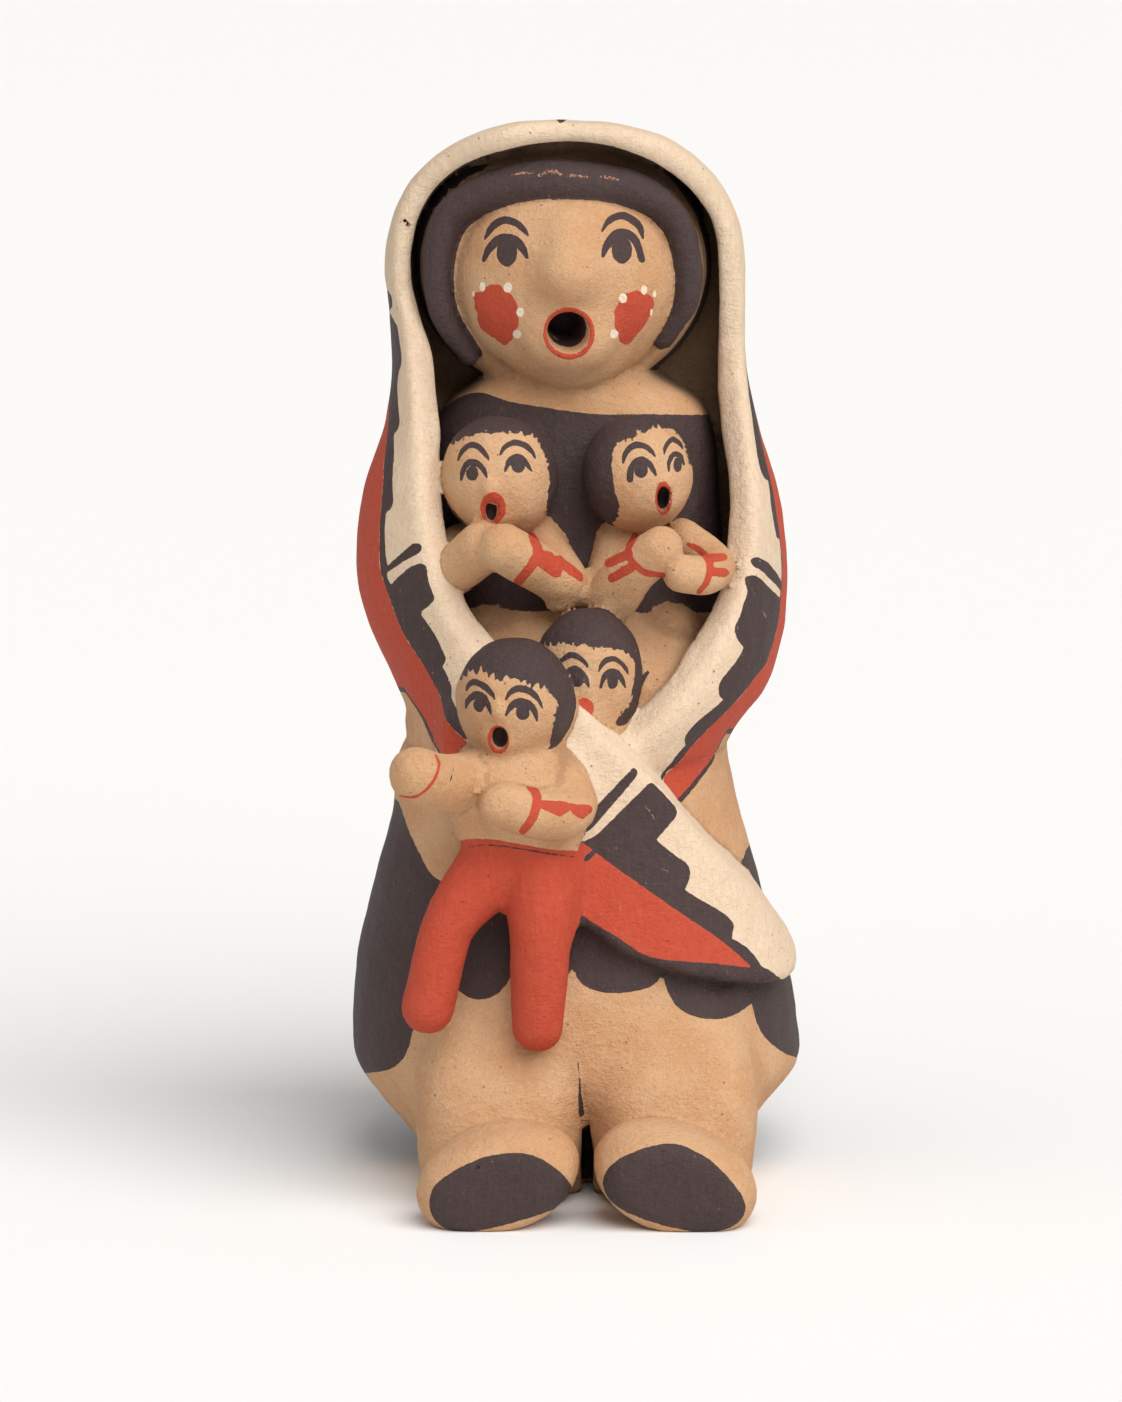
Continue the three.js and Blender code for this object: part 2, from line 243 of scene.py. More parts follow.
@dataclass(frozen=True)
class Column(Form):
    """A stack of rounded sections, each row a height, half width, sideways middle, front and back."""

    rows: Rows
    proud: float = 0.0
    squareness: float = 2.4

    def corners(self) -> tuple[Array, Array]:
        """Gives the box around the column."""
        height, half, middle, front, back = share(self.rows).T
        low = ((middle - half).min(), front.min(), height[0])
        high = ((middle + half).max(), back.max(), height[-1])
        spare = np.array([self.proud, self.proud, 0])
        return np.array(low) - spare, np.array(high) + spare

    def section(self, z: Array) -> tuple[Array, ...]:
        """Reads the section at heights.

        Args:
            z: Heights in millimetres.

        Returns:
            The half width, sideways middle, front-to-back centre and half depth.
        """
        rows = share(self.rows)
        heights = rows[:, 0]
        slopes = np.empty_like(rows)
        slopes[1:-1] = (rows[2:] - rows[:-2]) / (heights[2:] - heights[:-2])[:, None]
        slopes[0] = (rows[1] - rows[0]) / (heights[1] - heights[0])
        slopes[-1] = (rows[-1] - rows[-2]) / (heights[-1] - heights[-2])
        z = np.clip(z, heights[0], heights[-1])
        i = np.clip(np.searchsorted(heights, z, side="right") - 1, 0, len(rows) - 2)
        span = heights[i + 1] - heights[i]
        t = (z - heights[i]) / span
        ease = (t * t * (3 - 2 * t))[:, None]
        leave = ((t**3 - 2 * t**2 + t) * span)[:, None]
        arrive = ((t**3 - t**2) * span)[:, None]
        read = rows[i] * (1 - ease) + rows[i + 1] * ease + leave * slopes[i] + arrive * slopes[i + 1]
        _, half, middle, front, back = read.T
        return half + self.proud, middle, (front + back) / 2, (back - front) / 2 + self.proud

    def sideways(self, points: Array) -> tuple[Array, Array]:
        """Measures points against the section at their height.

        Args:
            points: The points, in millimetres.

        Returns:
            Where each lies, with 1 on the surface, and how fast that grows outwards.
        """
        half, middle, centre, depth = self.section(points[:, 2])
        power = self.squareness
        across = np.abs(points[:, 0] - middle) / half
        along = np.abs(points[:, 1] - centre) / depth
        place = np.maximum((across**power + along**power) ** (1 / power), 1e-6)
        lean_x = (across / place) ** (power - 1) / half
        lean_y = (along / place) ** (power - 1) / depth
        return place, np.maximum(np.hypot(lean_x, lean_y), 1e-3)

    def distance(self, points: Array) -> Array:
        """Gives the distance from the column, with its flat ends."""
        place, growth = self.sideways(points)
        low, high = self.corners()
        ends = np.maximum(low[2] - points[:, 2], points[:, 2] - high[2])
        return np.maximum((place - 1) / growth, ends)


@dataclass(frozen=True)
class Hood(Column):
    """The shawl's full form: its column with a dome over the last row.

    It is measured in by the first inset at the bottom, the second over her head, the third at its top.
    """

    top: float = 1000.0
    crest: float = -64.0
    roundness: float = 2.25
    insets: Triple = (0.0, 0.0, 0.0)
    thinned: tuple[float, float] = (690, 880)

    def corners(self) -> tuple[Array, Array]:
        """Gives the box around the hood."""
        low, high = super().corners()
        return low, np.array([high[0], high[1], share(self.top)])

    def section(self, z: Array) -> tuple[Array, ...]:
        """Reads the section at heights, before the dome draws it in."""
        half, middle, centre, depth = super().section(z)
        rise = self.rise(z)
        centre = centre + (share(self.crest) - centre) * rise**2
        inset = self.insets[0] + (self.insets[1] - self.insets[0]) * smooth_step(*share(self.thinned), z)
        return half - inset, middle, centre, depth - inset

    def rise(self, z: Array) -> Array:
        """Says how far up the dome heights are, from 0 at its foot to 1 at its top."""
        foot = share(self.rows[-1][0])
        return np.maximum(z - foot, 0) / (share(self.top) - self.insets[2] - foot)

    def distance(self, points: Array) -> Array:
        """Gives the distance from the hood."""
        place, growth = self.sideways(points)
        rise = self.rise(points[:, 2])
        power = self.roundness
        whole = (place**power + rise**power) ** (1 / power)
        foot = share(self.rows[-1][0])
        up = (rise / whole) ** (power - 1) / (share(self.top) - self.insets[2] - foot)
        out = (place / whole) ** (power - 1) * growth
        bottom = share(self.rows[0][0]) - points[:, 2]
        return np.maximum((whole - 1) / np.hypot(up, out), bottom)


class Part(Enum):
    """The parts of the figure that are painted in their own way."""

    SHAWL = 0
    SEAT = 1
    CHEST = 2
    FLAP = 3
    HEAD = 4
    HAIR = 5
    FEET = 7
    UPPER_LEFT = 8
    UPPER_RIGHT = 9
    MIDDLE = 10
    FRONT = 11
    ARMS = 12


@dataclass(frozen=True)
class Shawl(Form):
    """The slab of clay that hangs round her, hollow in front and open inside its rim."""

    thickness: float = 8.2
    hood_thickness: float = 4.9
    crown_thickness: float = 5.2
    edge_round: float = 2.8
    hollow_floor: float = 428.0
    hollow_back: float = 32.0
    rim_centre: Triple = (20, -10, 600)
    rows: Rows = (
        (394, 132, -2, -196, 150),
        (406, 150, -3, -206, 164),
        (420, 157, -2, -212, 172),
        (440, 164, 5, -216, 179),
        (460, 176, 9, -216, 184),
        (490, 189, 8, -214, 190),
        (528, 201, 4, -208, 194),
        (584, 206, 0, -200, 194),
        (646, 198, -1, -188, 188),
        (708, 178, 0, -170, 182),
        (768, 169, -2, -152, 180),
        (848, 173, -7, -136, 176),
    )
    # The rim's outer edge seen from the front, round from the crest down her right side.
    rim: Rows = (
        (-4, 998),
        (-64, 991),
        (-122, 967),
        (-154, 931),
        (-167, 880),
        (-166, 848),
        (-158, 815),
        (-153, 780),
        (-147, 727),
        (-142, 660),
        (-131, 590),
        (-108, 534),
        (-66, 487),
        (0, 450),
        (44, 424),
        (94, 462),
        (139, 520),
        (163, 572),
        (171, 640),
        (166, 710),
        (162, 770),
        (160, 830),
        (154, 885),
        (138, 932),
        (104, 966),
        (56, 989),
    )

    @property
    def outer(self) -> Hood:
        """Gives the form of the slab's outside."""
        return Hood(self.rows)

    @property
    def inner(self) -> Hood:
        """Gives the form of the hollow."""
        return Hood(self.rows, insets=(self.thickness, self.hood_thickness, self.crown_thickness))

    def corners(self) -> tuple[Array, Array]:
        """Gives the box around the shawl."""
        return self.outer.corners()

    def rim_line(self) -> Array:
        """Puts the rim's points on the front of the slab and runs a closed curve through them."""
        x, z = share(self.rim).T
        half, middle, centre, depth = self.outer.section(z)
        rise = self.outer.rise(z)
        drawn_in = (1 - rise**self.outer.roundness) ** (1 / self.outer.roundness)
        offset = np.minimum(np.abs(x - middle) / (half * drawn_in), 1)
        reach = (1 - offset**self.outer.squareness) ** (1 / self.outer.squareness)
        line = np.column_stack([x, centre - depth * drawn_in * reach, z])
        return smooth_path(np.vstack([line, line[:1]]), 6)

    def around_rim(self, points: Array) -> Array:
        """Measures how far points lie outside the cone from the rim's centre through the rim.

        Args:
            points: The points, in millimetres.

        Returns:
            Distances, negative inside the opening.
        """
        rays = self.rim_line() - share(self.rim_centre)
        turn = np.arctan2(-rays[:, 0], rays[:, 2])
        tilt = np.arctan2(np.hypot(rays[:, 0], rays[:, 2]), -rays[:, 1])
        order = np.argsort(turn)
        turn, tilt = turn[order], tilt[order]
        turn = np.concatenate([turn[-1:] - 2 * math.pi, turn, turn[:1] + 2 * math.pi])
        tilt = np.concatenate([tilt[-1:], tilt, tilt[:1]])
        away = points - share(self.rim_centre)
        off_axis = np.hypot(away[:, 0], away[:, 2])
        at = np.arctan2(-away[:, 0], away[:, 2])
        edge = np.interp(at, turn, tilt)
        slope = np.interp(at + 0.03, turn, tilt) - np.interp(at - 0.03, turn, tilt)
        slant = np.hypot(1, slope / 0.06 / np.maximum(np.sin(edge), 0.3))
        reach = np.hypot(off_axis, away[:, 1])
        return reach * (np.arctan2(off_axis, -away[:, 1]) - edge) / slant

    def distance(self, points: Array) -> Array:
        """Gives the distance from the slab."""
        solid = self.outer.distance(points)
        hollow = self.inner.distance(points)
        hollow = np.maximum(hollow, points[:, 1] - share(self.hollow_back))
        hollow = np.maximum(hollow, share(self.hollow_floor) - points[:, 2])
        slab = soft_max(solid, -hollow, 1.2)
        return soft_max(slab, -self.around_rim(points), self.edge_round)


def closed_distance(points: Array, outline: Array) -> Array:
    """Measures plane points against a closed outline.

    Args:
        points: The points, two numbers a row.
        outline: The outline's corners, two numbers a row.

    Returns:
        The distance from the outline, negative inside it.
    """
    nearest = np.full(len(points), 1e12)
    inside = np.zeros(len(points), bool)
    for a, b in zip(outline, np.roll(outline, -1, axis=0)):
        side = b - a
        t = np.clip((points - a) @ side / max(side @ side, 1e-12), 0, 1)
        off = points - a - t[:, None] * side
        nearest = np.minimum(nearest, (off * off).sum(1))
        spans = (a[1] > points[:, 1]) != (b[1] > points[:, 1])
        crossing = a[0] + (points[:, 1] - a[1]) * side[0] / (side[1] if side[1] else 1e-9)
        inside ^= spans & (points[:, 0] < crossing)
    return np.sqrt(nearest) * np.where(inside, -1, 1)


def rounded(corners: Array, radius: float | Array, steps: int = 5) -> Array:
    """Rounds the corners of a closed outline.

    Args:
        corners: The corners, two numbers a row.
        radius: How far from a corner its rounding starts, one for all or one for each.
        steps: How many pieces each rounding has.

    Returns:
        The new outline.
    """
    before, after = np.roll(corners, 1, axis=0), np.roll(corners, -1, axis=0)
    t = np.linspace(0, 1, steps)[:, None]
    radius = np.broadcast_to(radius, len(corners))
    pieces = []
    for corner, last, following, r in zip(corners, before, after, radius):
        back, on = last - corner, following - corner
        if r <= 0:
            pieces.append(corner[None])
            continue
        start = corner + back * min(0.5, r / max(np.linalg.norm(back), 1e-9))
        end = corner + on * min(0.5, r / max(np.linalg.norm(on), 1e-9))
        pieces.append(start * (1 - t) ** 2 + 2 * corner * t * (1 - t) + end * t**2)
    return np.vstack(pieces)


@dataclass(frozen=True)
class Flap(Form):
    """The end of the slab that crosses over and lies on the lap."""

    thickness: float = 5.0
    edge_round: float = 2.6
    corner_round: float = 6.0
    back: float = -100.0
    depth: float = 8.0
    rows: Rows = (
        (180, 207, 0, -242, 120),
        (230, 197, -2, -240, 120),
        (290, 181, -4, -232, 120),
        (350, 172, -2, -222, 120),
        (400, 176, 2, -218, 120),
        (450, 182, 4, -216, 120),
        (510, 196, 4, -210, 120),
    )
    # Its outline seen from the front, from her right side over the crossing to the corner.
    outline: Rows = (
        (-126, 424),
        (-100, 390),
        (-48, 336),
        (4, 272),
        (60, 232),
        (120, 212),
        (200, 196),
        (216, 203),
        (212, 228),
        (161, 300),
        (77, 397),
        (47, 424),
        (21, 446),
        (4, 463),
        (-50, 500),
        (-112, 484),
    )

    def corners(self) -> tuple[Array, Array]:
        """Gives the box around the flap."""
        x, z = share(self.outline).T
        front = share(self.rows[0][3]) - self.thickness
        return np.array([x.min(), front, z.min()]), np.array([x.max(), share(self.back), z.max()])

    def distance(self, points: Array) -> Array:
        """Gives the distance from the flap."""
        drape = Column(self.rows, proud=self.thickness).distance(points)
        behind = -Column(self.rows, proud=-self.depth).distance(points)
        outline = rounded(share(self.outline), self.corner_round)
        cut = closed_distance(points[:, [0, 2]], outline)
        cut = np.maximum(cut, points[:, 1] - share(self.back))
        return np.maximum(soft_max(drape, cut, self.edge_round), behind)


@dataclass(frozen=True)
class Lump:
    """A form with the part it belongs to and how softly it is smoothed onto the clay before it."""

    form: Form
    part: Part
    softness: float = 1.5


@dataclass(frozen=True)
class Hole:
    """A form that is pressed out of the clay, with its edge's rounding and the depth from which it is painted
    black as shade.
    """

    form: Form
    softness: float = 0.8
    shaded_from: float = math.inf


@dataclass(frozen=True)
class Woman:
    """Her body under the shawl, her head, hair, legs and feet."""

    head_centre: Triple = (-4, -20, 852)
    head_radii: Triple = (110, 106, 104)
    mouth_height: float = 804.0
    mouth_width: float = 9.5
    mouth_depth: float = 13.0
    leg_middles: tuple[float, float] = (-68, 95)
    leg_gap: float = 3.2
    slot_side: float = 8.0
    slot_top: float = 138.0
    slot_back: float = -150.0
    sole_lean: float = 0.15
    sole_place: float = -352.0
    foot_tip: float = 0.33
    # A leg: height, half width, front and back.
    leg_rows: Rows = (
        (0, 64, -270, -60),
        (24, 74, -278, -60),
        (64, 78, -280, -60),
        (110, 79, -272, -60),
        (150, 72, -252, -60),
        (190, 56, -226, -60),
    )
    seat_rows: Rows = (
        (0, 126, 0, -190, 120),
        (18, 142, 2, -202, 140),
        (50, 172, 4, -218, 168),
        (70, 190, 4, -230, 184),
        (104, 213, 5, -248, 196),
        (136, 213, 3, -254, 198),
        (196, 206, 0, -248, 196),
        (244, 191, -4, -236, 188),
        (292, 179, -5, -228, 180),
        (340, 166, -5, -212, 172),
        (384, 159, -8, -200, 164),
        (404, 154, -6, -196, 152),
        (432, 140, 0, -188, 140),
        (472, 130, 2, -180, 130),
    )
    chest_rows: Rows = (
        (440, 150, 4, -184, 120),
        (496, 152, 4, -168, 120),
        (540, 148, 2, -128, 120),
        (590, 144, 0, -104, 120),
        (650, 140, 0, -96, 120),
        (700, 134, 0, -88, 120),
        (732, 118, 2, -76, 110),
        (758, 82, -2, -60, 100),
        (790, 70, -3, -48, 90),
        (820, 66, -4, -40, 80),
    )
    hair_roll: tuple[Triple, ...] = (
        (-97, -48, 776),
        (-122, -58, 816),
        (-128, -60, 865),
        (-112, -60, 912),
        (-64, -70, 937),
        (-4, -76, 941),
        (60, -70, 933),
        (97, -62, 906),
        (109, -60, 863),
        (107, -58, 825),
        (86, -50, 790),
    )
    hair_radii: tuple[float, ...] = (9, 13, 16, 23, 16, 13, 9)

    def lumps(self) -> list[Lump]:
        """Gives her forms in the order in which the clay is joined."""
        x, y, z = self.head_centre
        nose = ((x, y - 84, z + 50), (x, y - 97, z + 28), (x, y - 103, z + 8))
        lumps = [
            Lump(Ball(self.head_centre, self.head_radii), Part.HEAD, 1.5),
            Lump(Ball((x, y - 40, z - 64), (56, 46, 42)), Part.HEAD, 3.0),
            Lump(Column(self.chest_rows), Part.CHEST, 0.8),
            Lump(Ball((x - 5, y + 30, z + 8), (142, 98, 128)), Part.HAIR, 1.0),
            Lump(Roll(nose, (9, 27)), Part.HEAD, 6.0),
            Lump(Ball((x, y - 80, self.mouth_height), (44, 28, 38)), Part.HEAD, 3.0),
            Lump(Roll(self.hair_roll, self.hair_radii), Part.HAIR, 0.7),
        ]
        for middle in self.leg_middles:
            rows = tuple((height, half, middle, front, back) for height, half, front, back in self.leg_rows)
            lumps.append(Lump(Column(rows, squareness=3.2), Part.SEAT, 4.0))
        return lumps

    def feet(self) -> list[Lump]:
        """Gives her feet, whose soles are flat ovals that face forward and tip outwards."""
        feet = []
        for side, middle in zip((-1, 1), self.leg_middles):
            foot = Foot(middle, self.sole_place, self.sole_lean, side * self.foot_tip)
            feet.append(Lump(foot, Part.FEET, 1.6))
        return feet

    def holes(self) -> list[Hole]:
        """Gives the hole of her singing mouth and the open slot between her legs."""
        x, y, _ = self.head_centre
        face = y - 106
        depth, radius = to_share(self.mouth_depth), to_share(self.mouth_width / 2)
        start, end = (x + 3, face - 12, self.mouth_height - 2), (x - 4, face + depth, self.mouth_height + 10)
        mouth = Roll((start, end), (radius * 1.1, radius * 0.78))
        slot = Slot(self.slot_side, to_share(self.leg_gap), self.slot_top, self.slot_back)
        # From these depths on, the mouth and the slot are painted black as their shade.
        return [Hole(mouth, 0.7, shaded_from=5.0), Hole(slot, 0.5, shaded_from=1.6)]


@dataclass(frozen=True)
class Foot(Form):
    """A foot with a flat sole that leans back; the whole foot tips sideways, in radians."""

    middle: float
    sole_place: float
    sole_lean: float
    tip: float
    depth: float = -314.0
    height: float = 43.0
    radii: Triple = (77, 66, 51)
    edge_round: float = 2.6

    def corners(self) -> tuple[Array, Array]:
        """Gives the box around the foot."""
        reach = share(max(self.radii))
        centre = share((self.middle, self.depth, self.height))
        return centre - reach, centre + reach

    def distance(self, points: Array) -> Array:
        """Gives the distance from the foot."""
        away = points - share((self.middle, self.depth, self.height))
        c, s = math.cos(self.tip), math.sin(self.tip)
        across, up = away[:, 0] * c - away[:, 2] * s, away[:, 2] * c + away[:, 0] * s
        level = np.column_stack([across, away[:, 1], up])
        whole = Ball((0, 0, 0), self.radii).distance(level)
        forward = -(points[:, 1] - share(self.sole_place)) * math.cos(self.sole_lean)
        return soft_max(whole, forward - points[:, 2] * math.sin(self.sole_lean), self.edge_round)


@dataclass(frozen=True)
class Slot(Form):
    """The open slot between her legs: upright on its left, and wider from its top down."""

    side: float
    wide: float
    top: float
    back: float
    widest_at: float = 50.0

    def corners(self) -> tuple[Array, Array]:
        """Gives the slot's box."""
        return share((self.side, -420, -40)), share((self.side + self.wide, self.back, self.top))

    def distance(self, points: Array) -> Array:
        """Gives the distance from the slot."""
        low, high = self.corners()
        spread = np.clip((high[2] - points[:, 2]) / (high[2] - share(self.widest_at)), 0.3, 1)
        right = low[0] + (high[0] - low[0]) * spread
        away = np.maximum(low[0] - points[:, 0], points[:, 0] - right)
        away = np.maximum(away, points[:, 1] - high[1])
        return np.maximum(away, points[:, 2] - high[2])


@dataclass(frozen=True)
class Child:
    """One of the singing children: a ball of a head, a body and rolled limbs."""

    part: Part
    head: Triple
    size: float
    turn: float
    body: Ball
    tall: float = 1.03
    mouth_rise: float = -0.5
    limbs: tuple[Roll, ...] = ()
    legs: tuple[Roll, ...] = ()
    mouth_width: float = 4.2
    mouth_height: float = 5.8
    mouth_depth: float = 4.5
    arm_softness: float = 0.7

    @property
    def ball(self) -> Ball:
        """Gives the child's head."""
        return Ball(self.head, (self.size, self.size, self.size * self.tall))

    def on_face(self, reach: float, rise: float) -> Triple:
        """Gives a place in front of the head's centre, as shares of the head's size."""
        x, y, z = self.head
        along = self.size * reach
        return (x + math.sin(self.turn) * along, y - math.cos(self.turn) * along, z + self.size * rise)

    def lumps(self) -> list[Lump]:
        """Gives the child's forms in the order in which the clay is joined."""
        s = self.size
        return [
            Lump(self.body, self.part, 1.2),
            Lump(self.ball, self.part, 1.0),
            Lump(Ball(self.on_face(0.9, -0.1), (s * 0.15, s * 0.2, s * 0.2)), self.part, 1.6),
            Lump(Ball(self.on_face(0.62, self.mouth_rise), (s * 0.36, s * 0.26, s * 0.3)), self.part, 2.2),
            *(Lump(leg, self.part, 2.0) for leg in self.legs),
            *(Lump(limb, Part.ARMS, self.arm_softness) for limb in self.limbs),
        ]

    def hole(self) -> Hole:
        """Gives the hole of the child's mouth."""
        radii = (self.mouth_width / 2, self.mouth_depth, self.mouth_height / 2)
        mouth = Ball(self.on_face(0.86, self.mouth_rise), tuple(to_share(radius) for radius in radii))
        # From this depth on, the mouth is painted black as its shade.
        return Hole(mouth, 0.5, shaded_from=1.6)


CHILDREN = (
    Child(
        part=Part.UPPER_LEFT,
        head=(-67, -116, 669),
        size=55,
        turn=-0.17,
        mouth_width=3.3,
        body=Ball((-60, -88, 498), (60, 46, 60)),
        limbs=(
            Roll(((-104, -92, 600), (-116, -128, 578), (-84, -168, 608)), (23, 23)),
            Roll(((-34, -98, 610), (-4, -136, 571), (-33, -166, 590), (-63, -188, 610)), (21, 22)),
            Roll(((-14, -148, 556), (-4, -146, 556)), (11, 10)),
        ),
    ),
    Child(
        part=Part.UPPER_RIGHT,
        head=(61, -114, 672),
        size=53,
        turn=0.55,
        mouth_rise=-0.36,
        mouth_width=2.9,
        mouth_height=6.4,
        body=Ball((74, -88, 498), (58, 44, 58)),
        limbs=(
            Roll(((46, -96, 604), (34, -132, 556), (54, -164, 584), (82, -186, 610)), (24, 25, 21)),
            Roll(((104, -96, 606), (134, -136, 588), (124, -168, 582), (102, -184, 586)), (20, 18)),
        ),
    ),
    Child(
        part=Part.MIDDLE,
        head=(15, -176, 491),
        size=51,
        turn=-0.09,
        tall=1.2,
        mouth_rise=-0.49,
        mouth_width=3.4,
        mouth_height=3.8,
        body=Ball((18, -160, 430), (50, 44, 56)),
    ),
    Child(
        part=Part.FRONT,
        head=(-51, -244, 478),
        size=52,
        turn=-0.35,
        tall=1.09,
        mouth_rise=-0.62,
        mouth_width=3.5,
        mouth_height=5.1,
        arm_softness=3.0,
        body=Ball((-52, -250, 380), (60, 44, 64)),
        limbs=(
            Roll(((-82, -246, 404), (-116, -290, 406), (-141, -318, 418)), (26, 25)),
            Roll(((-26, -246, 414), (2, -270, 384), (-22, -296, 377), (-65, -308, 388)), (20, 23, 20)),
        ),
        legs=(
            Roll(((-78, -254, 316), (-114, -268, 268), (-134, -264, 193)), (33, 24, 24)),
            Roll(((-32, -254, 316), (-29, -270, 264), (-32, -266, 174)), (36, 29, 24)),
        ),
    ),
)


@dataclass
class Clay:
    """All the forms of the figure, joined, with the marks of the hands that shaped them."""

    shawl: Shawl
    flap: Flap
    woman: Woman
    children: tuple[Child, ...]
    unevenness: float = 0.35
    merge_softness: float = 7.0
    merge_from: float = 9.0
    merge_to: float = 24.0
    lumps: list[Lump] = field(init=False)
    holes: list[Hole] = field(init=False)

    def __post_init__(self) -> None:
        """Lists the forms and picks the unevenness."""
        seat = Column(self.woman.seat_rows)
        self.lumps = [Lump(seat, Part.SEAT, 1.0), *self.woman.lumps(), *self.woman.feet()]
        for child in self.children:
            self.lumps += child.lumps()
        self.holes = [*self.woman.holes(), *(child.hole() for child in self.children)]
        self.broad = Ripple(34, seed=3)
        self.pinched = Ripple(9, seed=5)

    def territories(self, points: Array) -> dict[Part, Array]:
        """Says how far points lie inside the ground of each part.

        Args:
            points: Points on the surface, in millimetres.

        Returns:
            For each part the distance from where its clay meets other clay, positive on the part itself.
        """
        away = {part: np.full(len(points), 1e3) for part in Part}
        for lump in [Lump(self.shawl, Part.SHAWL), Lump(self.flap, Part.FLAP), *self.lumps]:
            np.minimum(away[lump.part], lump.form.near(points), out=away[lump.part])
        nearest, second = np.sort(np.stack(list(away.values())), axis=0)[:2]
        return {part: (np.where(own <= nearest, second, nearest) - own) / 2 for part, own in away.items()}

    def joined(self, points: Array, holes: Sequence[Hole] = ()) -> Array:
        """Gives the distance from the joined clay.

        Args:
            points: The points, in millimetres.
            holes: What is pressed out of it before the slab's end is laid over.

        Returns:
            One distance a point, negative inside the clay.
        """
        whole = self.shawl.near(points)
        for lump in self.lumps:
            whole = soft_min(whole, lump.form.near(points), lump.softness)
        for hole in holes:
            whole = soft_max(whole, -hole.form.near(points), hole.softness)
        flap = self.flap.near(points)
        merged = smooth_step(self.merge_to, self.merge_from, points[:, 0])
        whole = soft_min(whole, flap, 0.7 + merged * self.merge_softness)
        return whole - self.unevenness * (self.broad(points) + 0.4 * self.pinched(points))

    def distance(self, points: Array) -> Array:
        """Gives the distance from the whole figure.

        Args:
            points: The points, in millimetres.

        Returns:
            One distance a point, negative inside the clay.
        """
        return np.maximum(self.joined(points, self.holes), -points[:, 2])


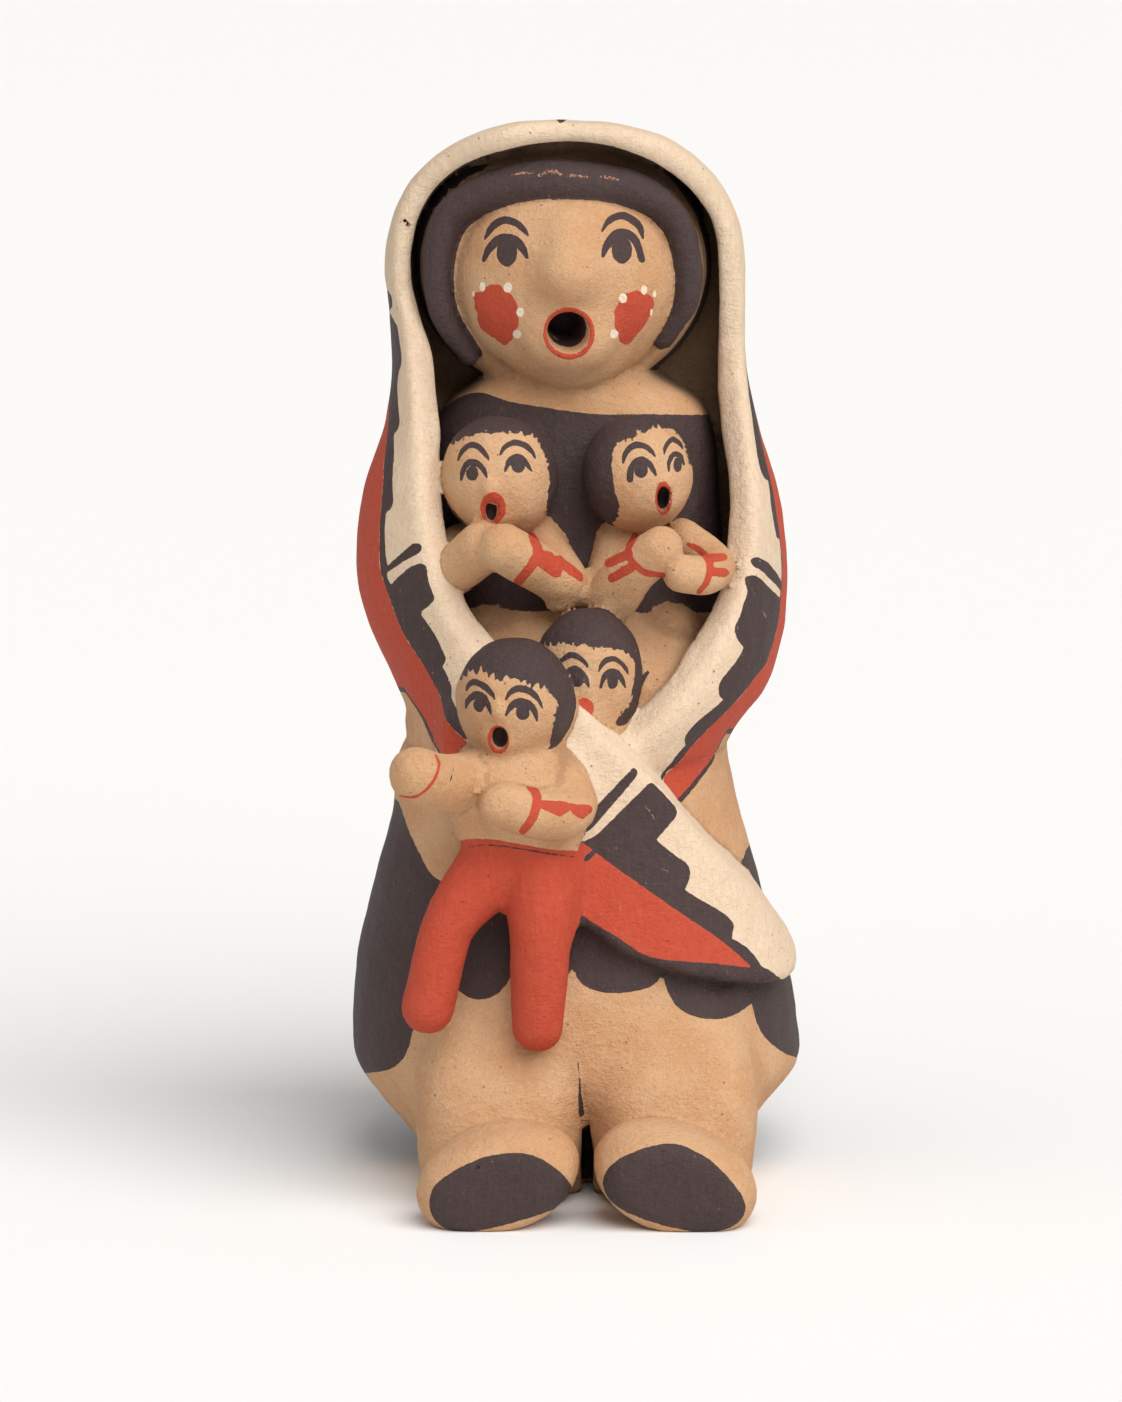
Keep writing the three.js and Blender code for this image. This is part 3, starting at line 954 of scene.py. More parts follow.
class Net:
    """The net of triangles that is laid over the clay."""

    def __init__(self, clay: Clay, step: float = 2.0) -> None:
        """Lays the first, even net.

        Args:
            clay: The clay to cover.
            step: The size of its cells, in millimetres.
        """
        self.clay = clay
        low, high = np.array([-62.0, -96.0, -3.0]), np.array([62.0, 56.0, 254.0])
        counts = np.ceil((high - low) / step).astype(int) + 1
        axes = [low[k] + step * np.arange(counts[k]) for k in range(3)]
        grid = np.stack(np.meshgrid(*axes, indexing="ij"), axis=-1).reshape(-1, 3)
        field_values = np.concatenate([clay.distance(block) for block in np.array_split(grid, 24)])
        self.points, self.faces = self._surface(field_values.reshape(counts), low, step)
        for _ in range(3):
            self.press()
            self.relax()
        self.press()

    @staticmethod
    def _surface(values: Array, low: Array, step: float) -> tuple[Array, Array]:
        """Puts a point in every cell that the surface passes and joins neighbours.

        Args:
            values: The distance at each corner of the cells.
            low: The lowest corner of the grid.
            step: The size of a cell.

        Returns:
            The points and the triangles between them, facing outwards.
        """
        cells = tuple(np.array(values.shape) - 1)
        total, hits = np.zeros((*cells, 3)), np.zeros(cells)
        cut = []
        for axis in range(3):
            start = np.moveaxis(values, axis, 0)[:-1]
            end = np.moveaxis(values, axis, 0)[1:]
            crossed = np.moveaxis((start < 0) != (end < 0), 0, axis)
            along = np.moveaxis(start / np.where(start == end, 1, start - end), 0, axis)
            cut.append((crossed, np.moveaxis(start < 0, 0, axis)))
            others = [k for k in range(3) if k != axis]
            for u in (0, 1):
                for v in (0, 1):
                    window = [slice(None)] * 3
                    window[others[0]] = slice(u, u + cells[others[0]])
                    window[others[1]] = slice(v, v + cells[others[1]])
                    seen = crossed[tuple(window)]
                    spot = np.zeros((*cells, 3))
                    spot[..., axis] = along[tuple(window)]
                    spot[..., others[0]], spot[..., others[1]] = u, v
                    total += spot * seen[..., None]
                    hits += seen
        used = hits > 0
        number = np.full(cells, -1)
        number[used] = np.arange(used.sum())
        points = low + step * (np.argwhere(used) + total[used] / hits[used][:, None])
        faces = []
        for axis, (crossed, leaving) in enumerate(cut):
            u, v = (axis + 1) % 3, (axis + 2) % 3
            at = np.argwhere(crossed)
            inner = (at[:, u] > 0) & (at[:, v] > 0) & (at[:, u] < cells[u]) & (at[:, v] < cells[v])
            at = at[inner]
            corners = []
            for du, dv in ((1, 1), (0, 1), (0, 0), (1, 0)):
                cell = at.copy()
                cell[:, u] -= du
                cell[:, v] -= dv
                corners.append(number[tuple(cell.T)])
            a, b, c, d = corners
            outward = leaving[tuple(at.T)]
            b, d = np.where(outward, b, d), np.where(outward, d, b)
            faces += [np.column_stack([a, b, c]), np.column_stack([a, c, d])]
        return points, np.vstack(faces)

    def press(self, points: Array | None = None, turns: int = 2, limit: float = 1.5) -> Array:
        """Presses points onto the clay.

        Args:
            points: The points, or none for all the net's own.
            turns: How often each is moved.
            limit: The furthest that one move may go, in millimetres.

        Returns:
            The moved points.
        """
        moved = self.points if points is None else points
        for _ in range(turns):
            away, slope = self.slope(moved)
            steep = np.maximum((slope * slope).sum(1), 0.05)
            moved = moved - slope * np.clip(away / steep, -limit, limit)[:, None]
        if points is None:
            self.points = moved
        return moved

    def slope(self, points: Array, reach: float = 0.06) -> tuple[Array, Array]:
        """Gives the distance at points and the way it grows fastest."""
        away = self.clay.distance(points)
        slope = np.empty_like(points)
        for axis in range(3):
            aside = points.copy()
            aside[:, axis] += reach
            slope[:, axis] = (self.clay.distance(aside) - away) / reach
        return away, slope

    def relax(self, strength: float = 0.5) -> None:
        """Evens out the triangles by moving each point towards its neighbours."""
        total = np.zeros_like(self.points)
        count = np.zeros(len(self.points))
        for a, b in ((0, 1), (1, 2), (2, 0)):
            for i, j in ((a, b), (b, a)):
                np.add.at(total, self.faces[:, i], self.points[self.faces[:, j]])
                np.add.at(count, self.faces[:, i], 1)
        middle = total / np.maximum(count, 1)[:, None]
        self.points += strength * (middle - self.points)

    def refine(self, wanted: Callable[[Array], Array], rounds: int = 9) -> None:
        """Splits long edges until the net is as fine as wanted.

        Args:
            wanted: Gives the edge length that points want, in millimetres.
            rounds: The most rounds of splitting.
        """
        wish = wanted(self.points)
        for turn in range(rounds):
            before = len(self.points)
            self._split(wish)
            if len(self.points) == before:
                break
            self.points[before:] = self.press(self.points[before:], turns=1)
            wish = np.concatenate([wish, wanted(self.points[before:])])
            log.info("refined %d: %d points, %d triangles", turn + 1, len(self.points), len(self.faces))

    def _split(self, wish: Array) -> None:
        """Splits each edge that is too long for the length its ends wish for."""
        faces = self.faces
        ends = np.sort(np.stack([faces, np.roll(faces, -1, axis=1)], axis=-1), axis=-1)
        keys = ends[..., 0] * (len(self.points) + 1) + ends[..., 1]
        unique, edge = np.unique(keys, return_inverse=True)
        edge = edge.reshape(keys.shape)
        start, end = unique // (len(self.points) + 1), unique % (len(self.points) + 1)
        length = np.linalg.norm(self.points[start] - self.points[end], axis=1)
        split = length > 0.7 * (wish[start] + wish[end])
        longest = edge[np.arange(len(faces)), np.argmax(length[edge], axis=1)]
        while True:
            touched = longest[split[edge].any(axis=1)]
            if split[touched].all():
                break
            split[touched] = True
        number = np.full(len(unique), -1)
        number[split] = len(self.points) + np.arange(split.sum())
        self.points = np.vstack([self.points, (self.points[start[split]] + self.points[end[split]]) / 2])
        first = np.argmax(length[edge], axis=1)[:, None]
        turned = (first + np.arange(3)) % 3
        a, b, c = np.take_along_axis(faces, turned, axis=1).T
        ab, bc, ca = number[np.take_along_axis(edge, turned, axis=1)].T
        cuts = (ab >= 0).astype(int) + 2 * (bc >= 0) + 4 * (ca >= 0)
        patterns = {
            0: ((a, b, c),),
            1: ((a, ab, c), (ab, b, c)),
            3: ((a, ab, c), (ab, bc, c), (ab, b, bc)),
            5: ((a, ab, ca), (ca, ab, c), (ab, b, c)),
            7: ((a, ab, ca), (ab, b, bc), (ca, bc, c), (ab, bc, ca)),
        }
        kept = []
        for pattern, triangles in patterns.items():
            rows = cuts == pattern
            kept += [np.column_stack([corner[rows] for corner in triangle]) for triangle in triangles]
        self.faces = np.vstack(kept)


@dataclass(frozen=True)
class PhotoView:
    """The photograph's camera: it looks slightly down at her from straight ahead.

    Pixel places are in the 1122 by 1402 frame of the photograph.
    """

    frame: tuple[int, int] = (1122, 1402)
    distance: float = 1400.0
    elevation: float = math.radians(8)
    target_height: float = 116.0
    target: tuple[float, float] = (572.0, 676.0)
    focal: float = 5824.0

    @property
    def scale(self) -> float:
        """Gives the size of a pixel at the figure, in millimetres."""
        return self.distance / self.focal

    def axes(self) -> tuple[Array, Array, Array]:
        """Gives the camera's place, the way it looks and the way that is up in the picture."""
        c, s = math.cos(self.elevation), math.sin(self.elevation)
        look, up = np.array([0, c, -s]), np.array([0, s, c])
        return np.array([0, 0, self.target_height]) - look * self.distance, look, up

    def project(self, points: Array) -> Array:
        """Finds the pixel at which each point is seen.

        Args:
            points: The points, in millimetres.

        Returns:
            Pixel places, two numbers a row.
        """
        eye, look, up = self.axes()
        away = points - eye
        depth = away @ look / self.focal
        return np.column_stack([self.target[0] + away[:, 0] / depth, self.target[1] - away @ up / depth])

    def onto(self, form: Form, pixels: Array) -> Array:
        """Follows pixels onto a form; past its edge the point nearest to the form is taken.

        Args:
            form: The form that is seen.
            pixels: Pixel places, two numbers a row.

        Returns:
            Points on the form, in millimetres.
        """
        eye, look, up = self.axes()
        across, down = ((pixels - np.array(self.target)) / self.focal).T
        rays = look + across[:, None] * np.array([1, 0, 0]) - down[:, None] * up
        reach = np.linspace(self.distance - 110, self.distance + 10, 241)
        tried = eye + rays[:, None, :] * reach[:, None]
        away = form.distance(tried.reshape(-1, 3)).reshape(len(pixels), -1)
        within = away < 0.02
        first = np.where(within.any(1), within.argmax(1), away.argmin(1))
        return tried[np.arange(len(pixels)), first]


class Coat(Enum):
    """The slips that are brushed on, each over the ones before it."""

    CREAM = "cream"
    BLACK = "black"
    RED = "red"
    WHITE = "white"
    LINE = "line"
    WORN = "worn"


Ground = dict[Part, Array]
Coats = dict[Coat, Array]


def brush(coats: Coats, coat: Coat, on: Array | slice, inside: Array) -> None:
    """Brushes a coat onto some points, as far inside its edge as given, and keeps what is deeper."""
    coats[coat][on] = np.maximum(coats[coat][on], inside)


def with_radii(corners: Rows, soft: float) -> tuple[Array, Array]:
    """Parts corners into places and roundings; one that gives no rounding of its own gets soft."""
    places = np.array([corner[:2] for corner in corners], float).reshape(-1, 2)
    return places, np.array([corner[2] if len(corner) > 2 else soft for corner in corners], float)


@dataclass(frozen=True)
class Area:
    """A painted area seen from the front: pixel corners, each with its own rounding if it gives one."""

    coat: Coat
    part: Part
    outline: Pixels
    soft: float = 6.0
    fine: bool = False

    def drawn(self) -> Array:
        """Gives the outline with its corners rounded, in pixels."""
        return rounded(*with_radii(self.outline, self.soft))

    def distance(self, pixels: Array) -> Array:
        """Gives how far inside the area pixels lie, in pixels."""
        return -closed_distance(pixels, self.drawn())

    def span(self) -> tuple[Array, Array]:
        """Gives the lowest and highest pixel of the area."""
        corners, _ = with_radii(self.outline, self.soft)
        return corners.min(0), corners.max(0)


@dataclass(frozen=True)
class Stroke:
    """A stroke of the brush seen from the front: pixels on its middle and its width there."""

    coat: Coat
    part: Part
    points: Pixels
    fine: bool = True

    def distance(self, pixels: Array) -> Array:
        """Gives how far inside the stroke pixels lie, in pixels."""
        path = smooth_path(np.array(self.points, float), 4)
        deepest = np.full(len(pixels), -1e6)
        for a, b in zip(path, path[1:]):
            side = b[:2] - a[:2]
            t = np.clip((pixels - a[:2]) @ side / max(side @ side, 1e-9), 0, 1)
            away = np.linalg.norm(pixels - a[:2] - t[:, None] * side, axis=1)
            deepest = np.maximum(deepest, (a[2] + t * (b[2] - a[2])) / 2 - away)
        return deepest

    def span(self) -> tuple[Array, Array]:
        """Gives the lowest and highest pixel of the stroke."""
        path = np.array(self.points, float)
        wide = path[:, 2].max() / 2
        return path[:, :2].min(0) - wide, path[:, :2].max(0) + wide


@dataclass(frozen=True)
class Spot:
    """An oval dab seen from the front: its middle, radii and tilt."""

    coat: Coat
    part: Part
    middle: tuple[float, float]
    radii: tuple[float, float]
    tilt: float = 0.0
    fine: bool = True

    def distance(self, pixels: Array) -> Array:
        """Gives how far inside the dab pixels lie, in pixels."""
        across, down = (pixels - np.array(self.middle)).T
        c, s = math.cos(self.tilt), math.sin(self.tilt)
        scaled = np.hypot((across * c + down * s) / self.radii[0], (down * c - across * s) / self.radii[1])
        return (1 - scaled) * min(self.radii)

    def span(self) -> tuple[Array, Array]:
        """Gives the lowest and highest pixel of the dab."""
        reach = max(self.radii)
        return np.array(self.middle) - reach, np.array(self.middle) + reach


@dataclass(frozen=True)
class Face:
    """A painted face, read off the photograph.

    Brows and lids are strokes. A pupil or the mouth is a dab: its middle and its two radii.
    """

    part: Part
    brows: tuple[Pixels, Pixels]
    lids: tuple[Pixels, Pixels]
    pupils: Pixels
    mouth: tuple[float, ...]
    mouth_tilt: float = 0.0

    def marks(self) -> list[Stroke | Spot]:
        """Gives the strokes and dabs."""
        strokes = [Stroke(Coat.BLACK, self.part, line) for line in (*self.brows, *self.lids)]
        pupils = [Spot(Coat.BLACK, self.part, dab[:2], dab[2:]) for dab in self.pupils]
        mouth = Spot(Coat.RED, self.part, self.mouth[:2], self.mouth[2:], self.mouth_tilt)
        return [*strokes, *pupils, mouth]


FACES = (
    Face(
        Part.HEAD,
        brows=(
            (
                (485, 239, 2.1), (490, 230, 6.3), (497, 223, 7.8), (506, 220, 7.8), (516, 223, 7.3),
                (524, 230, 5.6), (528, 235, 2.1),
            ),
            (
                (602, 231, 2.1), (607, 223, 5.6), (615, 217, 7.3), (624, 216, 7.8), (634, 221, 7.8),
                (640, 228, 6.7), (643, 238, 2.8),
            ),
        ),
        lids=(
            (
                (484, 260, 4.2), (489, 249, 7.8), (497, 241, 9), (506, 238, 9), (516, 241, 9),
                (523, 249, 7.8), (527, 257, 3.6),
            ),
            (
                (603, 256, 3.6), (606, 247, 7.3), (613, 237, 9), (621, 233, 9), (631, 236, 9),
                (637, 244, 7.8), (642, 260, 6.3),
            ),
        ),
        pupils=((507, 253, 10.2, 13.4), (622, 250, 10, 13.4)),
        mouth=(569, 333.3, 25.8, 26.2),
    ),
    Face(
        Part.UPPER_LEFT,
        brows=(
            (
                (458, 460, 1.7), (462, 452, 4.6), (468, 446, 5.7), (474, 445, 6.3), (481, 449, 5.7),
                (486, 455, 4.6), (489, 460, 1.7),
            ),
            (
                (500, 455, 1.7), (504, 448, 4.6), (512, 443, 5.7), (518, 443, 6.3), (526, 446, 5.7),
                (532, 452, 4.2), (535, 458, 1.7),
            ),
        ),
        lids=(
            (
                (461, 480, 2.8), (463, 471, 5.2), (467, 464, 6.3), (472, 462, 6.9), (478, 464, 6.3),
                (484, 470, 5.2), (487, 478, 1.7),
            ),
            (
                (505, 471, 2.2), (509, 462, 5.6), (514, 458, 6.9), (518, 457, 6.9), (524, 460, 5.6),
                (528, 466, 4.6), (532, 471, 1.7),
            ),
        ),
        pupils=((472.4, 473.5, 6.1, 7.6), (518.2, 464.9, 6.9, 8.2)),
        mouth=(493, 508, 12.7, 15.9),
    ),
    Face(
        Part.UPPER_RIGHT,
        brows=(
            (
                (623, 463, 2.2), (625, 455, 5.2), (631, 447, 6.3), (638, 445, 6.9), (646, 447, 5.6),
                (651, 451, 4.6), (655, 456, 2.2),
            ),
            (
                (664, 454, 1.7), (666, 446, 4.1), (671, 440, 5.2), (675, 440, 5.2), (680, 444, 4.1),
                (683, 449, 1.4),
            ),
        ),
        lids=(
            (
                (630, 479, 6.9), (631, 469, 6.3), (636, 462, 6.9), (642, 460, 7.4), (648, 463, 6.3),
                (653, 469, 5.2), (656, 476, 1.7),
            ),
            (
                (669, 471, 2.2), (669, 462, 4.1), (673, 455, 5.2), (677, 454, 5.2), (681, 457, 4.6),
                (684, 465, 2.2),
            ),
        ),
        pupils=((641.2, 470.4, 6.7, 7.3), (677.6, 464.9, 4.1, 7.3)),
        mouth=(663.7, 498, 8.6, 16.7),
    ),
    Face(
        Part.MIDDLE,
        brows=(
            (
                (562, 660, 4.8), (568, 656, 5.6), (574, 655, 6.2), (581, 659, 4.8), (586, 664, 3.4),
                (588, 668, 1.4),
            ),
            (
                (599, 671, 2), (602, 664, 4.8), (607, 660, 5.6), (614, 659, 5.6), (621, 663, 4.8),
                (626, 669, 3.9), (628, 674, 1.4),
            ),
        ),
        lids=(
            (
                (568, 672, 5.6), (573, 669, 7), (579, 671, 7), (584, 676, 6.3), (587, 682, 5.3),
                (589, 687, 2.1),
            ),
            (
                (600.5, 688, 2.4), (603, 680, 4.8), (607, 674, 6.3), (613, 672, 6.7), (619, 675, 6.3),
                (622.5, 681, 4.8), (625, 687, 2.4),
            ),
        ),
        pupils=((576.9, 678.9, 6.9, 8.6), (612.7, 681.5, 5.5, 7.4)),
        mouth=(584.3, 708.2, 9.4, 10.6),
    ),
    Face(
        Part.FRONT,
        brows=(
            (
                (466, 691, 1.4), (469, 685, 4.8), (474, 682, 6.3), (480.5, 684, 6.3), (486.5, 688, 6.3),
                (492, 694, 4.8), (495, 700, 1.4),
            ),
            (
                (506, 699, 2), (510, 693, 5.3), (516, 689, 6.7), (523.5, 689, 7.3), (531, 692, 6.3),
                (538, 699, 4.8), (543, 709, 1.4),
            ),
        ),
        lids=(
            (
                (466, 708, 2), (468, 701, 5.3), (473, 696, 6.7), (478, 694.7, 7.3), (484, 698, 6.7),
                (488, 705, 5.3), (491, 714, 2),
            ),
            (
                (506, 715, 2.4), (510, 708, 5.7), (516, 703, 7.3), (523, 702, 7.7), (529.5, 705, 7.3),
                (535, 712, 5.7), (537, 721, 2.4),
            ),
        ),
        pupils=((479.1, 704.7, 5.7, 7.2), (522.7, 712.5, 6.9, 7.7)),
        mouth=(498.5, 739.5, 10.7, 14.1),
        mouth_tilt=-0.12,
    ),
)
CHEEKS = (
    (
        (473, 297), (475, 292), (480, 292), (487, 286), (493, 284), (501, 285), (504, 291), (510, 293),
        (515, 299), (518, 306), (516, 313), (519, 319), (518, 328), (513, 331), (513, 339), (507, 344),
        (504, 346), (499, 342), (494, 337), (492, 338), (488, 334), (481, 329), (479, 324), (477, 318),
        (478, 313), (474, 308), (475, 303),
    ),
    (
        (614, 325), (615, 316), (614, 311), (617, 306), (619, 301), (623, 295), (630, 292), (637, 290),
        (642, 293), (649, 294), (654, 299), (654, 305), (652, 311), (649, 318), (645, 325), (641, 330),
        (635, 337), (631, 343), (626, 345), (621, 343), (619, 340), (617, 331),
    ),
)  # fmt: skip
CHEEK_DOTS = (
    (482.4, 286.7, 3, 4.8), (507.8, 287.4, 4.3, 5.2), (473.3, 293.9, 1.3, 3), (520.3, 312.1, 3.7, 4.6),
    (517.1, 334.4, 4.1, 4.4), (622.9, 298.2, 4.1, 4.6), (644.1, 290, 3, 4.6), (654.6, 294.3, 1.7, 3.5),
    (651.5, 312.7, 1.3, 3.9), (614.2, 334.2, 4.3, 4.3),
)  # fmt: skip
# The bands round the children's wrists, the bars beside them and the two stepped motifs.
WRIST_BANDS = (
    ((532, 536, 7.8), (538, 551, 10), (532, 565, 10), (518, 582, 9.1)),
    ((635, 536, 6.5), (628, 550, 6.5), (632, 561, 6.5), (644, 572, 6.5), (663, 575, 5.2)),
    ((688, 544, 3.9), (701, 551, 6.5), (709.6, 563, 7.2), (707.6, 580, 6.5), (699, 592, 5.2)),
    ((529, 785, 7.8), (535, 792, 9.1), (537, 801, 9.1), (533, 817, 9.1), (523, 831, 7.8)),
    (
        (435.5, 755, 2.1), (439, 764, 2.9), (435.5, 777, 3.1), (426.5, 789.6, 2.9), (414, 797, 2.6),
        (399, 796, 2),
    ),
)
WRIST_BARS = (
    ((609, 563, 9.1), (628, 554, 10)),
    ((612, 578, 9.1), (630, 568, 10)),
    ((711, 558, 9.1), (723.5, 557, 7.8)),
    ((711, 571.5, 9.1), (724.5, 572.5, 9.1)),
)
UPPER_MOTIF = (
    (538, 549), (552, 552), (554.5, 556), (560, 555), (583, 573.5), (583, 581), (580, 582),
    (563, 570, 0), (560.6, 576.5), (554.5, 578), (536, 565),
)  # fmt: skip
FRONT_MOTIF = (
    (536, 800, 0), (560, 801), (576, 804), (590, 805), (593, 809), (591.5, 813), (587, 815),
    (583, 820), (578, 817.5), (570, 810.6, 0), (560, 817), (536, 806, 0),
)  # fmt: skip


def painted_marks() -> list[Area | Stroke | Spot]:
    """Gives what is painted on the faces and on the children's arms."""
    marks = [mark for face in FACES for mark in face.marks()]
    marks += [Area(Coat.RED, Part.HEAD, cheek, soft=2, fine=True) for cheek in CHEEKS]
    marks += [Spot(Coat.WHITE, Part.HEAD, dot[:2], dot[2:]) for dot in CHEEK_DOTS]
    marks += [Stroke(Coat.RED, Part.ARMS, band) for band in WRIST_BANDS]
    marks += [Stroke(Coat.RED, Part.ARMS, bar, fine=False) for bar in WRIST_BARS]
    marks.append(Area(Coat.RED, Part.ARMS, UPPER_MOTIF, soft=1.5, fine=True))
    marks.append(Area(Coat.RED, Part.ARMS, FRONT_MOTIF, soft=2, fine=True))
    return marks


@dataclass(frozen=True)
class Border:
    """The stepped border and red field on one side of the shawl, with the hem's black line.

    Front corners are photograph pixels; the last number of a corner, where it has three, is its
    rounding in millimetres. Both sides share the back, given in degrees from her front and in
    millimetres up the clay.
    """

    inner: Pixels
    outer: Pixels
    hem: Pixels
    soft: float = 1.1
    back_inner: Rows = (
        (100, 208),
        (112, 213),
        (113, 231),
        (130, 235),
        (131, 245),
        (152, 249),
        (153, 258),
        (172, 260),
        (173, 280),
        (190, 280),
    )
    back_outer: Rows = ((190, 222), (165, 221), (140, 216), (118, 206), (102, 192))
    back_hem: Rows = ((190, 102.5), (150, 102.5), (120, 102), (98, 102))


HER_RIGHT = Border(
    inner=(
        (490, 722), (458.5, 684), (443, 667, 0), (448, 659), (436, 636), (420.6, 613, 0), (431, 604),
        (435, 599), (427.5, 577), (426, 566), (420, 563), (409, 567), (390.5, 585, 0), (386.5, 576, 0),
        (387, 573, 0), (402, 562.5), (421.5, 552), (421, 544), (414, 542.5), (387, 566, 0),
        (384.5, 555, 0), (384, 530), (385, 512, 0), (389.5, 510), (392.5, 501), (394, 459), (394, 434, 0),
        (397, 432), (400, 424), (398, 387), (399, 371, 0), (401, 368), (402.5, 357), (401, 346),
        (397, 325), (391, 315), (388, 313, 0), (389, 310, 0), (392, 307), (391, 297), (387, 291),
    ),
    outer=(
        (389.5, 419), (387, 441), (383, 476), (380.5, 503), (379, 530), (379.5, 560), (381, 573),
        (389, 597), (400, 626), (419, 659), (433, 681), (457, 710), (474, 728), (492, 742),
    ),
    hem=((404, 690), (413, 703), (430, 727), (457, 757), (480, 780)),
    back_hem=((190, 102.5), (150, 104), (120, 108), (100, 113)),
)  # fmt: skip
HER_LEFT = Border(
    inner=(
        (650, 795), (657, 782), (674, 758), (685.5, 745, 0), (683.5, 741), (684.5, 735), (695, 723),
        (711, 711), (724, 699, 0), (720, 697), (718, 688), (721, 680), (737, 660), (744.5, 648, 0),
        (737, 640), (734, 630), (740, 616), (749, 593), (749, 576), (755, 575), (763, 580), (772, 589),
        (781, 598, 0), (783, 592, 0), (772, 580), (761, 570), (754, 567), (753, 558), (758, 557),
        (769, 562), (779, 575), (783, 582, 0), (783, 568), (781, 539, 0), (778, 539), (777, 534),
        (771, 501), (768.6, 480, 0), (766, 480), (762, 473), (759, 460), (754, 434), (750, 403),
    ),
    outer=(
        (761, 439), (767, 463), (774, 493), (781, 532), (784, 570), (782.5, 600), (780, 621), (774, 644),
        (767, 661), (753, 680), (731, 707), (707, 731), (691, 747), (674, 766), (660, 787), (652, 800),
    ),
    hem=((728, 731), (711, 757), (691.5, 791), (682, 809), (672, 828)),
)  # fmt: skip


@dataclass(frozen=True)
class FlapPattern:
    """The same border on the crossed end of the slab, and the dark and red below it."""

    bar: Pixels = ((585, 815), (598, 804.5), (633.5, 767), (638, 769), (636.5, 777), (597, 823), (580, 840))
    steps: Pixels = (
        (560, 848, 0), (582, 842, 0), (596, 836), (650, 782), (655, 784), (660, 790), (676, 807),
        (678, 815), (671, 823), (656, 840, 0), (674, 854.5), (689, 865), (691, 876), (684.5, 890, 0),
        (703, 901), (727, 915), (735, 925), (731, 938, 0), (744, 945), (754, 954.5), (762, 966),
        (758, 971), (748, 970), (723, 946), (682, 918), (642, 890), (611, 868), (575, 850, 0),
    )  # fmt: skip
    red: Pixels = (
        (560, 826), (582, 842, 0), (611, 864), (642, 886), (682, 914), (723, 941), (753, 968, 0),
        (729, 965), (695, 962), (648, 959), (621, 939), (593, 923), (578, 911), (560, 905),
    )  # fmt: skip
    below: Pixels = (
        (540, 895), (578, 908), (593, 920), (621, 936), (648, 957), (695, 959.5), (729, 962),
        (755, 965), (769, 969), (779, 978), (800, 990), (790, 1030), (560, 1010),
    )  # fmt: skip

    def marks(self) -> list[Area]:
        """Gives the painted areas."""
        flap = Part.FLAP
        return [
            Area(Coat.BLACK, flap, self.bar, soft=4),
            Area(Coat.BLACK, flap, self.steps, soft=6),
            Area(Coat.RED, flap, self.red, soft=30),
            Area(Coat.BLACK, flap, self.below, soft=12),
        ]


@dataclass(frozen=True)
class Hairline:
    """A child's cut fringe: the line seen from the front, brushed in uneven tufts."""

    part: Part
    line: Pixels
    chin: Pixels
    tuft: float = 5.5
    depth: float = 11.0
    seed: int = 1

    def window(self) -> Array:
        """Gives the outline of the bare face, in pixels."""
        path = smooth_path(np.array(self.line, float), 12)
        steps = np.linalg.norm(np.diff(path, axis=0), axis=1)
        along = np.concatenate([[0], np.cumsum(steps)])
        chance = np.random.default_rng(self.seed)
        count = int(along[-1] / self.tuft) * 2
        places = (np.arange(count) + chance.uniform(-0.4, 0.4, count)) * along[-1] / count
        fringe = np.column_stack([np.interp(places, along, path[:, k]) for k in (0, 1)])
        lean = np.column_stack([np.interp(places + 1, along, path[:, k]) for k in (0, 1)]) - fringe
        inward = np.column_stack([-lean[:, 1], lean[:, 0]]) / np.linalg.norm(lean, axis=1)[:, None]
        level = np.abs(lean[:, 0]) / np.linalg.norm(lean, axis=1)
        reach = self.depth * chance.uniform(0.2, 1.1, count) ** 1.5 * (np.arange(count) % 2 * 2 - 1)
        reach *= 0.25 + 0.75 * level
        return np.vstack([fringe + inward * reach[:, None] / 2, np.array(self.chin, float)])


HAIRLINES = (
    Hairline(
        part=Part.UPPER_LEFT,
        line=(
            (442, 452), (458, 440), (478, 433), (500, 433), (522, 434), (538, 441), (546, 460),
            (550, 480), (547, 500), (545, 526),
        ),
        chin=((552, 560), (500, 600), (400, 600), (400, 452)),
        seed=4,
    ),
    Hairline(
        part=Part.UPPER_RIGHT,
        line=(
            (606, 538), (614, 522), (620, 508), (614, 488), (612, 470), (613, 453), (620, 441),
            (632, 436), (645, 430), (662, 428), (673, 429), (681, 437), (686, 450), (690, 466),
        ),
        chin=((720, 480), (720, 600), (600, 600)),
        seed=7,
    ),
    Hairline(
        part=Part.MIDDLE,
        line=(
            (520, 655), (538, 648), (551, 645), (570, 644), (590, 646), (606, 648), (621, 650),
            (632, 657), (635, 670), (634, 684), (631, 698), (627, 709), (617, 719),
        ),
        chin=((600, 760), (500, 760)),
        seed=9,
    ),
    Hairline(
        part=Part.FRONT,
        line=(
            (452, 692), (461, 679), (470, 671), (480, 671), (492, 675), (505, 679), (519, 678),
            (533, 684), (545, 687), (556, 698), (557, 710), (553, 722), (552, 735), (547, 746),
            (556, 750),
        ),
        chin=((570, 745), (590, 760), (560, 800), (430, 800), (430, 700)),
        tuft=6.5,
        depth=13.0,
        seed=12,
    ),
)


@dataclass(frozen=True)
class Fineness:
    """How long the net's edges may be, in millimetres: finest along paint, longer away from it."""

    front: float = 2.3
    back: float = 2.9
    front_ends: float = 4.0
    joint: float = 1.4
    joint_reach: float = 0.7
    fine_mark: float = 0.42
    mark: float = 0.9
    mark_reach: float = 0.3
    mark_growth: float = 0.8
    edge: float = 0.95
    edge_reach: float = 0.4
    # Edges of paint further back than this may be so many times longer.
    behind: float = 10.0
    longer_behind: float = 1.5


